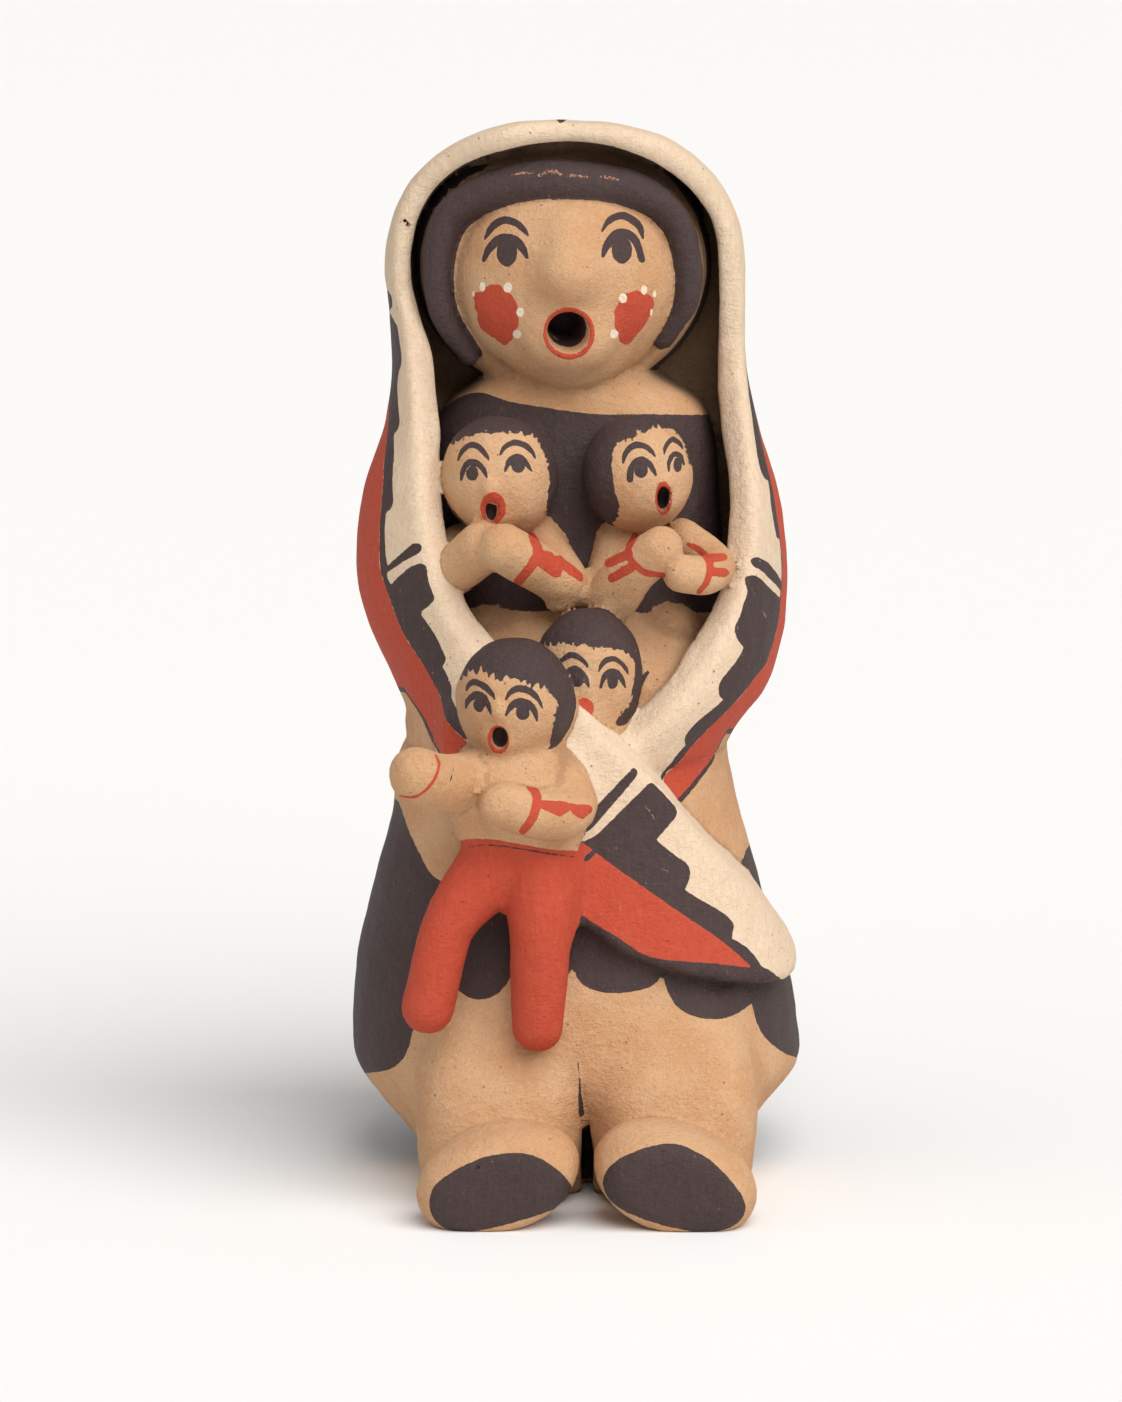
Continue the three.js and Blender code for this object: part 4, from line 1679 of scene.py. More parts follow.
@dataclass
class Paintwork:
    """Says where each slip lies, as the distance inside its edge in millimetres."""

    clay: Clay
    view: PhotoView
    fineness: Fineness = Fineness()
    flap: FlapPattern = FlapPattern()
    borders: tuple[Border, Border] = (HER_RIGHT, HER_LEFT)
    hairlines: tuple[Hairline, ...] = HAIRLINES
    # A point further outside a coat than this counts as just so far.
    unpainted: float = -4.0
    mark_margin: float = 4.0
    mouth_reach: float = 0.6
    hollow_band: float = 11.0
    # Where the black inside the hood begins, is full, thins and ends, in degrees round from the top.
    hollow_turns: tuple[float, ...] = (-66, -50, 22, 38)
    # A child's fringe ends behind this share of its head, and its hair ends this share below the middle.
    fringe_back: float = 0.35
    nape: float = 0.95
    # Painted shade inside the hood's hollow: where it starts and is full, in from the rim, and where it
    # starts going back.
    hollow_shade_reach: tuple[float, float] = (3.0, 16.0)
    hollow_shade_back: float = -9.0
    degree: float = 0.8
    dome_length: float = 61.0
    blur: float = 1.5
    red_depth: float = 0.5
    rim_reach: float = 2.6
    behind_head: float = -4.0
    crossing_ends: float = 6.0
    hem_width: float = 1.3
    waist_from: float = 300.0
    waist_height: float = 82.0
    waist_tilt: float = 0.12
    # Her black dress below the neckline; its lower edge reaches down into the dark hollows under the
    # children's arms, where it also stands as painted shade.
    dress_and_shade: Pixels = (
        (425, 425), (440, 411), (455, 399), (478, 390), (505, 401), (560, 410), (600, 415),
        (640, 414), (700, 415), (760, 412), (770, 560), (735, 612), (640, 614), (600, 598),
        (545, 612), (425, 606),
    )  # fmt: skip
    skirt_waist: Pixels = (
        (330, 780), (397, 795), (408, 830), (430, 875), (447, 885), (500, 900), (560, 880),
        (640, 870), (737, 867), (744, 858), (749, 841), (830, 830),
    )  # fmt: skip
    scallops: Pixels = (
        (830, 1062), (793, 1058), (772, 1046), (757, 1027), (752, 1003, 0), (735, 1016), (710, 1021),
        (680, 1012), (667, 992), (663, 974, 0), (655, 985), (640, 991), (613, 994), (590, 990),
        (577, 980), (574, 966, 0), (560, 985), (545, 993), (525, 990), (512, 975, 0), (500, 994),
        (482, 1001), (462, 996), (448, 975), (430, 990), (412, 1033, 0), (408, 1052), (396, 1068),
        (375, 1073), (330, 1075),
    )  # fmt: skip
    # Painted shade: a thin dark line in the fold at the top of the front child's trousers.
    fold_shade: Pixels = ((462, 848, 0.8), (486, 845, 1.5), (515, 848, 1.7), (545, 853, 1.5), (574, 857, 0.8))
    notch: Pixels = ((552, 114), (569, 114), (568, 119), (560, 124))
    crack: Pixels = ((453.5, 768, 0.6), (452, 776, 1.3), (448, 787, 0.6))
    # Painted shade: a dark line down the crease between her legs, widening towards the feet.
    leg_gap_shade: Pixels = ((578, 1062, 1), (579.5, 1080, 1.8), (580, 1096, 3), (582, 1114, 7))
    soles: tuple[Pixels, Pixels] = (
        (
            (428, 1202), (434, 1184), (458, 1168), (485, 1156), (516, 1152), (538, 1156), (563, 1173),
            (576, 1192), (572, 1202), (537, 1216), (498, 1227), (466, 1233), (445, 1230), (432, 1218),
        ),
        (
            (602, 1181), (607, 1168), (623, 1156), (649, 1146), (668, 1143), (684, 1145), (710, 1159),
            (730, 1179), (745, 1199), (746, 1213), (738, 1224), (720, 1232), (699, 1233), (668, 1227),
            (636, 1217), (615, 1206), (605, 1194),
        ),
    )  # fmt: skip
    # Where the slip is rubbed through: on the crest of the roll of hair and in scratches on the flap.
    wear: tuple[tuple[Part, Pixels], ...] = (
        (Part.HAIR, ((482, 181, 2), (493, 179, 3))),
        (Part.HAIR, ((511, 176, 2), (520, 173, 2.4), (533, 173.5, 2))),
        (Part.HAIR, ((539, 175, 3), (548, 172, 4.6), (556, 172, 4.6), (562, 175, 2.6))),
        (Part.HAIR, ((567, 176, 3), (575, 175.5, 3.4), (589, 177, 2.6))),
        (Part.HAIR, ((600, 176, 2.4), (609, 177.5, 3.4), (618, 180, 2.4))),
        (Part.HAIR, ((659, 187, 2), (669, 194, 2.4))),
        (Part.FLAP, ((645, 806, 0.9), (652, 814, 1.6), (655, 822, 0.9))),
        (Part.FLAP, ((609, 850, 0.9), (617, 848, 1.6))),
        (Part.FLAP, ((660, 868, 0.9), (668, 872, 1.6))),
        (Part.SHAWL, ((762, 610, 0.9), (766, 617, 1.6))),
    )
    trousers: Pixels = (
        (380, 846), (440, 845), (457, 841), (478, 838), (503, 840.5), (529, 846), (554, 850), (577, 851),
        (640, 850), (640, 1100), (380, 1100),
    )  # fmt: skip

    def __post_init__(self) -> None:
        """Gathers the marks and lays the shawl's outlines out flat."""
        self.marks = [
            *painted_marks(),
            *self.flap.marks(),
            Area(Coat.RED, Part.FRONT, self.trousers, soft=12),
            Stroke(Coat.LINE, Part.SEAT, self.leg_gap_shade),
            Stroke(Coat.LINE, Part.FRONT, self.fold_shade),
            Stroke(Coat.LINE, Part.ARMS, self.crack),
            Area(Coat.BLACK, Part.SHAWL, self.notch, soft=0.5, fine=True),
            *(Stroke(Coat.WORN, part, line) for part, line in self.wear),
            Area(Coat.BLACK, Part.CHEST, self.dress_and_shade, soft=12),
            *(Area(Coat.BLACK, Part.FEET, sole, soft=12) for sole in self.soles),
        ]
        self.outlines = []
        for border in self.borders:
            corners = (border.inner, border.back_inner, border.back_outer, border.outer)
            band = rounded(*self._flat(border, *corners))
            edge = self._flat(border, (), (), border.back_outer, border.outer)[0]
            hem, _ = self._flat(border, (), (), border.back_hem, border.hem)
            field_outline = np.vstack([edge, hem[::-1] - (0, 1)])
            self.outlines.append((band, field_outline, hem))

    def _flat(
        self, border: Border, inner: Pixels, back_inner: Rows, back_outer: Rows, outer: Pixels
    ) -> tuple[Array, Array]:
        """Lays pixel corners and back corners out flat.

        Args:
            border: Whose rounding is used.
            inner: Pixels going backwards.
            back_inner: Degrees and millimetres going backwards.
            back_outer: Degrees and millimetres coming forwards.
            outer: Pixels coming forwards.

        Returns:
            The flat corners and the rounding of each, in millimetres.
        """
        spots, given = with_radii(inner, border.soft)
        fronts = [
            self.unroll(self.view.onto(self.clay.shawl.outer, pixels)) if len(pixels) else pixels
            for pixels in (spots, with_radii(outer, border.soft)[0])
        ]
        backs = [np.array(back, float).reshape(-1, 2) * (self.degree, 1) for back in (back_inner, back_outer)]
        corners = np.vstack([fronts[0], *backs, fronts[1]])
        return corners, np.append(given, np.full(len(corners) - len(given), border.soft))

    def unroll(self, points: Array) -> Array:
        """Lays places on the shawl out flat.

        Args:
            points: Points on its outside, in millimetres.

        Returns:
            The way round from her front and the way up the clay, in millimetres.
        """
        outer = self.clay.shawl.outer
        half, middle, centre, depth = outer.section(points[:, 2])
        across, along = np.abs(points[:, 0] - middle) / half, (points[:, 1] - centre) / depth
        rise = np.clip(outer.rise(points[:, 2]), 0, 1)
        foot = share(outer.rows[-1][0])
        up = np.minimum(points[:, 2], foot) + self.dome_length * 2 / math.pi * np.arcsin(rise)
        return np.column_stack([np.degrees(np.arctan2(across, -along)) * self.degree, up])

    def _bare(self, points: Array) -> Coats:
        """Gives the coats before anything is painted."""
        return {coat: np.full(len(points), self.unpainted) for coat in Coat}

    def coats(self, points: Array) -> Coats:
        """Measures points against every coat.

        Args:
            points: Points on the clay, in millimetres.

        Returns:
            For each coat, how far inside its edge each point lies, in millimetres.
        """
        own = self.clay.territories(points)
        pixels = self.view.project(points)
        coats = self._bare(points)
        for mark in self.marks:
            on = self._seen(mark, points, pixels, own)
            inside = np.minimum(mark.distance(pixels[on]) * self.view.scale, own[mark.part][on])
            brush(coats, mark.coat, on, inside)
        self._paint_areas(points, pixels, own, coats)
        self._paint_shade_in_holes(points, coats)
        return coats

    def _paint_areas(self, points: Array, pixels: Array, own: Ground, coats: Coats) -> None:
        """Paints what isn't a mark of its own: the slab, the hair and the skirt."""
        self._paint_shawl(points, own, coats)
        self._paint_hair(points, pixels, own, coats)
        self._paint_skirt(points, pixels, own, coats)

    def _seen(self, mark: Area | Stroke | Spot, points: Array, pixels: Array, own: Ground) -> Array:
        """Says which points a mark can be on: its own part, facing forward, close to its pixels."""
        low, high = mark.span()
        margin = self.mark_margin / self.view.scale
        near = ((pixels > low - margin) & (pixels < high + margin)).all(1)
        return near & (own[mark.part] > -self.blur) & (points[:, 1] < self._middle_of(mark.part))

    def _middle_of(self, part: Part) -> float:
        """Gives how far back the front of a part reaches, in millimetres."""
        depths = {child.part: share(child.head[1]) + 4 for child in self.clay.children}
        depths |= {Part.HEAD: share(self.clay.woman.head_centre[1]), Part.CHEST: 6.0, Part.SHAWL: -2.0}
        return depths.get(part, share(self.clay.flap.back) + 3)

    def _paint_shade_in_holes(self, points: Array, coats: Coats) -> None:
        """Ends the red rims just inside the mouths, and brushes black into the depths of the mouths and of
        the slot between her legs as painted shade.
        """
        for hole in self.clay.holes:
            if math.isinf(hole.shaded_from):
                continue
            inside = np.flatnonzero(hole.form.near(points) < self.mouth_reach)
            depth = -self.clay.joined(points[inside])
            coats[Coat.RED][inside] = np.minimum(coats[Coat.RED][inside], self.red_depth - depth)
            brush(coats, Coat.BLACK, inside, depth - hole.shaded_from)

    def _paint_shawl(self, points: Array, own: Ground, coats: Coats) -> None:
        """Paints the slab: cream, the stepped borders, the red field and the hem."""
        shawl = self.clay.shawl
        waist = points[:, 2] > share(self.waist_from)
        slab = np.where(waist, np.maximum(own[Part.SHAWL], own[Part.SEAT]), own[Part.SHAWL])
        flap = own[Part.FLAP]
        wall = shawl.inner.distance(points)
        hollow = points[:, 2] > share(shawl.hollow_floor) - 2
        cream = np.minimum(slab, np.where(hollow, wall - 0.5, 3.0))
        crossing = np.minimum(flap, self.crossing_ends - points[:, 0])
        outside = np.minimum(slab, shawl.outer.distance(points) + self.rim_reach)
        brush(coats, Coat.CREAM, slice(None), flap)
        for side, (band, field_outline, hem) in zip((-1, 1), self.outlines):
            ground = np.maximum(outside, crossing) if side < 0 else outside
            on = (np.maximum(ground, cream) > -self.blur) & ((points[:, 0] * side > 0) | (ground > outside))
            flat = self.unroll(points[on])
            above = self._above(flat, hem)
            ground = ground[on]
            stepped = np.minimum(-closed_distance(flat, band), ground)
            red = np.minimum(-closed_distance(flat, field_outline), np.minimum(ground, above))
            line = np.minimum(self.hem_width / 2 - np.abs(above), ground)
            brush(coats, Coat.CREAM, on, np.minimum(cream[on], above))
            brush(coats, Coat.BLACK, on, stepped)
            brush(coats, Coat.RED, on, np.minimum(red, 0.02 - stepped))
            brush(coats, Coat.LINE, on, line)
        self._paint_hollow(points, hollow & (slab > -self.blur) & (wall < 1.5), coats)

    @staticmethod
    def _above(flat: Array, hem: Array) -> Array:
        """Gives how far up from the hem's line flat places lie, negative below it."""
        back, front = hem[0], hem[-1]
        over = ((-20, front[1] - 30), (-20, 400), (back[0] + 10, 400), (back[0] + 10, back[1]))
        return -closed_distance(flat, np.vstack([hem, over]))

    def _paint_hollow(self, points: Array, inside: Array, coats: Coats) -> None:
        """Brushes black inside the hood, close to the rim over her head and down her right side."""
        shawl = self.clay.shawl
        away = points[inside] - share(shawl.rim_centre)
        turn = np.degrees(np.arctan2(away[:, 0], away[:, 2]))
        depth = shawl.around_rim(points[inside])
        begins, full, thins, ends = self.hollow_turns
        reach = self.hollow_band * smooth_step(begins, full, turn) * smooth_step(ends, thins, turn)
        wall = shawl.inner.distance(points[inside])
        black = np.minimum(np.minimum(reach - depth - 0.6, 2.0), 0.5 - wall)
        brush(coats, Coat.BLACK, inside, black)

    def _paint_hair(self, points: Array, pixels: Array, own: Ground, coats: Coats) -> None:
        """Paints her roll of hair and the children's cut hair."""
        woman = self.clay.woman
        hair = own[Part.HAIR] > -self.blur
        roll = Roll(woman.hair_roll, woman.hair_radii).distance(points[hair])
        black = np.minimum(np.maximum(1.0 - roll, points[hair, 1] - self.behind_head), own[Part.HAIR][hair])
        brush(coats, Coat.BLACK, hair, black)
        for child, line in zip(self.clay.children, self.hairlines):
            on = np.flatnonzero(own[child.part] > -self.blur)
            proud = np.abs(child.ball.distance(points[on]))
            on, proud = on[proud < 1.5], proud[proud < 1.5]
            value = np.full(len(on), 2.0)
            ahead = points[on, 1] - share(child.head[1]) < share(child.size) * self.fringe_back
            value[ahead] = closed_distance(pixels[on[ahead]], line.window()) * self.view.scale
            nape = points[on, 2] - share(child.head[2] - child.size * self.nape)
            value = np.minimum.reduce([value, nape, 0.8 - proud, own[child.part][on]])
            brush(coats, Coat.BLACK, on, value)

    def _paint_skirt(self, points: Array, pixels: Array, own: Ground, coats: Coats) -> None:
        """Paints her skirt with its scalloped hem, dark round the sides and back."""
        body = own[Part.SEAT] > -self.blur
        halves = zip(with_radii(self.skirt_waist, 14), with_radii(self.scallops, 30))
        outline, radii = (np.concatenate(half) for half in halves)
        front = -closed_distance(pixels[body], rounded(outline, radii)) * self.view.scale
        y, z = points[body, 1], points[body, 2]
        behind = y + 22 - 8 * smooth_step(40, 0, z)
        waist = self.waist_height - self.waist_tilt * points[body, 0]
        skirt = np.maximum(np.where(y < 0, front, self.unpainted), np.minimum(behind, waist - z))
        brush(coats, Coat.BLACK, body, np.minimum(skirt, own[Part.SEAT][body]))

    def hollow_shade(self, points: Array) -> Array:
        """Says how much painted shade darkens the inside of the hollow, from 0 at the rim to 1 in its depth.
        """
        shawl = self.clay.shawl
        inside = (shawl.inner.distance(points) < 1.5) & (points[:, 2] > share(shawl.hollow_floor))
        own = self.clay.territories(points)
        wall = np.maximum(own[Part.SHAWL], own[Part.HAIR]) > 0
        deep = smooth_step(*self.hollow_shade_reach, shawl.around_rim(points))
        behind = smooth_step(self.hollow_shade_back, 0, points[:, 1])
        return inside * np.maximum(deep * wall, behind)

    def wanted(self, points: Array) -> Array:
        """Says how fine the net must be at points.

        Args:
            points: Points on the clay, in millimetres.

        Returns:
            Edge lengths, in millimetres.
        """
        pixels = self.view.project(points)
        own = self.clay.territories(points)
        net = self.fineness
        ahead = points[:, 1] < net.front_ends
        length = np.where(ahead, net.front, net.back)
        joint = np.max(list(own.values()), axis=0) < net.joint_reach
        length[joint & ahead] = net.joint
        for mark in self.marks:
            on = self._seen(mark, points, pixels, own)
            away = np.abs(mark.distance(pixels[on])) * self.view.scale
            finest = net.fine_mark if mark.fine else net.mark
            grown = finest + net.mark_growth * np.maximum(away - net.mark_reach, 0)
            length[on] = np.minimum(length[on], grown)
        coats = self._bare(points)
        self._paint_areas(points, pixels, own, coats)
        longer = np.where(points[:, 1] < net.behind, 1.0, net.longer_behind)
        for value in coats.values():
            edge = net.edge + np.maximum(np.abs(value) - net.edge_reach, 0)
            length = np.minimum(length, edge * longer)
        return length


def linear(colour: str) -> tuple[float, float, float, float]:
    """Turns an sRGB hex colour such as #c49a72 into linear red, green, blue and alpha."""
    parts = [int(colour[i : i + 2], 16) / 255 for i in (1, 3, 5)]
    red, green, blue = (c / 12.92 if c <= 0.04045 else ((c + 0.055) / 1.055) ** 2.4 for c in parts)
    return red, green, blue, 1.0


def add_node(tree: Tree, kind: str, links: dict | tuple = (), **settings: object) -> bpy.types.Node:
    """Adds a node to a tree.

    Args:
        tree: The tree.
        kind: The node's type.
        links: What its inputs get, by name or number, or in order: a value, a hex colour, a socket,
            or a node for the output that it uses.
        settings: The node's own properties.

    Returns:
        The node.
    """
    node = tree.nodes.new(kind)
    for name, value in settings.items():
        setattr(node, name, value)
    for name, value in (links if isinstance(links, dict) else dict(enumerate(links))).items():
        if isinstance(value, bpy.types.Node):
            value = next(output for output in value.outputs if output.enabled)
        if isinstance(value, bpy.types.NodeSocket):
            tree.links.new(value, node.inputs[name])
        elif isinstance(value, str) and value.startswith("#"):
            node.inputs[name].default_value = linear(value)
        else:
            node.inputs[name].default_value = value
    return node


MATH = "ShaderNodeMath"
ATTRIBUTE = "ShaderNodeAttribute"
# A smooth step of a value, and a mix of two colours whose inputs have these numbers.
STEP = {"kind": "ShaderNodeMapRange", "interpolation_type": "SMOOTHSTEP"}
MIX = {"kind": "ShaderNodeMix", "data_type": "RGBA"}
FACTOR, BELOW, ABOVE = 0, 6, 7


@dataclass(frozen=True)
class Slip:
    """A slip: thin coloured clay brushed on before firing, which leaves a matte, streaked coat."""

    coat: Coat
    colour: str
    streaked: str
    roughness: float
    worn: float


SLIPS = (
    # Chalky cream, thin enough that the warm clay glows through its streaks.
    Slip(Coat.CREAM, "#dfc7ac", "#d3b494", roughness=0.8, worn=0.25),
    # Near-black mineral paint with a brownish cast and a faint rubbed sheen.
    Slip(Coat.BLACK, "#403130", "#4c3b38", roughness=0.62, worn=0.4),
    # Brick red iron slip, quite flat.
    Slip(Coat.RED, "#b8452d", "#bf5138", roughness=0.74, worn=0.3),
    # Dots of white slip, thick enough to cover.
    Slip(Coat.WHITE, "#ead9c2", "#e0c9ab", roughness=0.8, worn=0.1),
    # The thin dark lines along the hems and of the crack, and the lines of painted shade in the fold and
    # between her legs.
    Slip(Coat.LINE, "#3d302f", "#4c3d3a", roughness=0.66, worn=0.35),
    # The coppery clay that shows where the slip is rubbed through.
    Slip(Coat.WORN, "#ab765c", "#bd8f72", roughness=0.7, worn=0.3),
)


@dataclass(frozen=True)
class Grain:
    """An uneven pattern in the clay: how far apart its marks are, how drawn out and how turned."""

    size: float
    detail: float = 3.0
    stretch: Triple = (1, 1, 1)
    turn: Triple = (0, 0, 0)


@dataclass(frozen=True)
class PaintedClay:
    """Low-fired clay, hand smoothed and stone rubbed, with mineral slips brushed on it.

    It looks matte and warm, a little blotchy from the fire, with grit pits, brush streaks and
    fine scratches that show the clay under the slip.
    """

    clay: str = "#cba17a"
    warm: str = "#c4946b"
    pale: str = "#d6b48f"
    # Dark grime for the grit flecks and the pits, and for the darkening of the joints, which is grime and
    # painted shade together.
    grime_and_shade: str = "#5f4535"
    rubbed: str = "#94704f"
    # The colour of the painted shade deep in the hood's hollow.
    hollow_shade: str = "#1e1612"
    pit_spacing: float = 4.2
    blotches: Grain = Grain(15, 4)
    speckles: Grain = Grain(1.3, 4)
    streaks: Grain = Grain(0.9, 4, (1, 1, 4.5), (0.2, 0.15, 0.4))
    wrinkles: Grain = Grain(0.8, 4, (2.6, 1, 1), (0.3, 0.5, 0.2))
    grit: Grain = Grain(0.5, 4)
    dents: Grain = Grain(3.2, 3)
    wobbles: Grain = Grain(1.7, 4)
    scratches: Grain = Grain(0.5, 2, (1, 26, 1), (0.5, 0.9, 0.3))
    wobble: float = 0.28
    edge: float = 0.05
    relief: float = 0.55
    bare_roughness: float = 0.86
    # How much of that painted shade shows at most.
    hollow_shaded: float = 0.72
    pitted: float = 0.6
    # How much the joints darken, with grime and with painted shade in their creases, under the slips and over
    # them.
    grime_and_shade_under: float = 0.22
    grime_and_shade_over: float = 0.1
    # Where a pattern starts to count and where it counts fully.
    pit_edge: tuple[float, float] = (0.035, 0.075)
    rubbed_through: tuple[float, float] = (0.40, 0.48)
    scratched: tuple[float, float] = (0.72, 0.76)
    streaky: tuple[float, float] = (0.35, 0.7)
    gritty: tuple[float, float] = (0.48, 0.56)
    joint_reach: tuple[float, float] = (0.8, 2.0)
    joint_unevenness: float = 1.4
    most_streaked: float = 0.55
    # Flecks in the clay's colour: the grain, where it starts and is full, how much shows, the colour.
    fired: tuple[tuple, ...] = (
        ("blotches", 0.35, 0.65, 1.0, "clay"),
        ("speckles", 0.5, 0.8, 0.5, "pale"),
        ("grit", 0.5, 0.72, 0.3, "rubbed"),
    )
    dusted: tuple[tuple, ...] = (("grit", 0.52, 0.75, 0.14, "grime_and_shade"),)
    # How far each pattern stands up in the surface, as a share of the relief.
    heights: tuple[tuple[str, float], ...] = (
        ("grit", 0.9),
        ("streaks", 0.15),
        ("wrinkles", 0.8),
        ("speckles", 0.5),
        ("slips", 0.22),
        ("pits", -1.3),
    )

    def build(self) -> bpy.types.Material:
        """Builds the material."""
        material = bpy.data.materials.new("slip_painted_fired_clay")
        material.use_nodes = True
        tree = material.node_tree
        tree.nodes.clear()
        grains = self._grains(tree)
        pits = self._pits(tree)
        colour = self._flecks(tree, grains, self.warm, self.fired)
        # Under the slips, the joints darken with grime and painted shade.
        seams = {FACTOR: self._joints(tree, grains, self.grime_and_shade_under), BELOW: colour, ABOVE: self.grime_and_shade}
        colour = add_node(tree, **MIX, links=seams)
        colour, rough, thick = self._slips(tree, grains, colour)
        colour = self._flecks(tree, grains, colour, self.dusted)
        # Painted shade: the hood's hollow darkens from its rim inwards and towards its back.
        hollow_shade = add_node(tree, ATTRIBUTE, attribute_name="hollow_shade").outputs["Fac"]
        hollow_shaded = add_node(tree, MATH, (hollow_shade, self.hollow_shaded), operation="MULTIPLY")
        pitted = add_node(tree, MATH, (pits, self.pitted), operation="MULTIPLY")
        seamed = self._joints(tree, grains, self.grime_and_shade_over)
        # Over the slips: grime and painted shade in the joints, painted shade deep in the hood's hollow, and
        # darker pits.
        covers = ((seamed, self.grime_and_shade), (hollow_shaded, self.hollow_shade), (pitted, self.grime_and_shade))
        for seen, above in covers:
            colour = add_node(tree, **MIX, links={FACTOR: seen, BELOW: colour, ABOVE: above})
        height: object = 0.0
        raised = grains | {"slips": thick, "pits": pits}
        for name, lift in self.heights:
            height = add_node(tree, MATH, (raised[name], lift, height), operation="MULTIPLY_ADD")
        bumps = {"Height": height, "Strength": 0.7, "Distance": self.relief * MILLIMETRE}
        fine = add_node(tree, "ShaderNodeBump", bumps)
        dents = {"Height": grains["dents"], "Strength": 0.5, "Distance": 2 * self.relief * MILLIMETRE}
        dents["Normal"] = fine
        surface = {
            "Base Color": colour,
            "Roughness": rough,
            "Specular IOR Level": 0.3,
            "Normal": add_node(tree, "ShaderNodeBump", dents),
        }
        shader = add_node(tree, "ShaderNodeBsdfPrincipled", surface)
        add_node(tree, "ShaderNodeOutputMaterial", {"Surface": shader})
        return material

    def _flecks(self, tree: Tree, grains: dict, colour: object, flecks: tuple) -> bpy.types.Node:
        """Lays flecks of other colours over a colour, each where its grain is strong.

        Args:
            tree: The material's tree.
            grains: The uneven patterns.
            colour: The colour below.
            flecks: Rows as in fired.

        Returns:
            The node with the new colour.
        """
        for name, low, high, most, above in flecks:
            seen = add_node(tree, **STEP, links=(grains[name], low, high, 0.0, most))
            colour = add_node(tree, **MIX, links={FACTOR: seen, BELOW: colour, ABOVE: getattr(self, above)})
        return colour

    def _grains(self, tree: Tree) -> dict[str, bpy.types.NodeSocket]:
        """Adds every uneven pattern, on Object coordinates."""
        where = add_node(tree, "ShaderNodeTexCoord").outputs["Object"]
        grains = {}
        for name in ("blotches", "speckles", "streaks", "wrinkles", "grit", "dents", "wobbles", "scratches"):
            grain = getattr(self, name)
            scale = tuple(1 / (grain.size * MILLIMETRE * s) for s in grain.stretch)
            turned = {"Vector": where, "Scale": scale, "Rotation": grain.turn}
            placed = add_node(tree, "ShaderNodeMapping", turned)
            noise = {"Vector": placed, "Scale": 1.0, "Detail": grain.detail, "Roughness": 0.6}
            grains[name] = add_node(tree, "ShaderNodeTexNoise", noise).outputs["Fac"]
        return grains

    def _pits(self, tree: Tree) -> bpy.types.NodeSocket:
        """Adds the small pits that burnt-out grit leaves, 1 where a pit is deepest."""
        where = add_node(tree, "ShaderNodeTexCoord").outputs["Object"]
        scale = (1 / (self.pit_spacing * MILLIMETRE),) * 3
        placed = add_node(tree, "ShaderNodeMapping", {"Vector": where, "Scale": scale})
        cells = add_node(tree, "ShaderNodeTexVoronoi", {"Vector": placed, "Scale": 1.0})
        near = add_node(tree, **STEP, links=(cells.outputs["Distance"], *self.pit_edge))
        return add_node(tree, MATH, (1.0, near), operation="SUBTRACT")

    def _joints(self, tree: Tree, grains: dict, most: float) -> bpy.types.NodeSocket:
        """Adds the darkening where two forms meet, grime together with painted shade in the crease, up to the
        share that most gives.
        """
        joint = add_node(tree, ATTRIBUTE, attribute_name="joint").outputs["Fac"]
        waves = (grains["speckles"], self.joint_unevenness, joint)
        uneven = add_node(tree, MATH, waves, operation="MULTIPLY_ADD")
        reach = add_node(tree, **STEP, links=(uneven, *self.joint_reach))
        return add_node(tree, MATH, (reach, -most, most), operation="MULTIPLY_ADD")

    def _slips(self, tree: Tree, grains: dict, colour: object) -> tuple:
        """Brushes the slips over the clay.

        Args:
            tree: The material's tree.
            grains: The uneven patterns.
            colour: The clay's colour.

        Returns:
            The colour, the roughness and how thick the slips lie.
        """
        bounds = (grains["wobbles"], 2 * self.wobble, -self.wobble)
        wobble = add_node(tree, MATH, bounds, operation="MULTIPLY_ADD")
        both = add_node(tree, MATH, (grains["speckles"], grains["streaks"]), operation="MULTIPLY")
        rubbed = add_node(tree, **STEP, links=(both, *self.rubbed_through))
        scratched = add_node(tree, **STEP, links=(grains["scratches"], *self.scratched))
        rubbed = add_node(tree, MATH, (rubbed, scratched), operation="MAXIMUM")
        streak = add_node(tree, **STEP, links=(grains["streaks"], *self.streaky, 0.0, self.most_streaked))
        gritty = add_node(tree, **STEP, links=(grains["grit"], *self.gritty))
        bare = self.bare_roughness
        rough: object = bare
        thick: object = 0.0
        for slip in SLIPS:
            inside = add_node(tree, ATTRIBUTE, attribute_name=f"paint_{slip.coat.value}").outputs["Fac"]
            edge = add_node(tree, MATH, (inside, wobble), operation="ADD")
            mask = add_node(tree, **STEP, links=(edge, -self.edge, self.edge))
            kept = add_node(tree, MATH, (rubbed, -slip.worn, 1.0), operation="MULTIPLY_ADD")
            mask = add_node(tree, MATH, (mask, kept), operation="MULTIPLY")
            if slip.coat is Coat.WORN:
                mask = add_node(tree, MATH, (mask, gritty), operation="MULTIPLY")
            slipped = {FACTOR: streak, BELOW: slip.colour, ABOVE: slip.streaked}
            brushed = add_node(tree, **MIX, links=slipped)
            colour = add_node(tree, **MIX, links={FACTOR: mask, BELOW: colour, ABOVE: brushed})
            less = add_node(tree, MATH, (mask, slip.roughness - bare, bare), operation="MULTIPLY_ADD")
            rough = add_node(tree, MATH, (rough, less), operation="MINIMUM")
            thick = add_node(tree, MATH, (thick, mask), operation="MAXIMUM")
        return colour, rough, thick


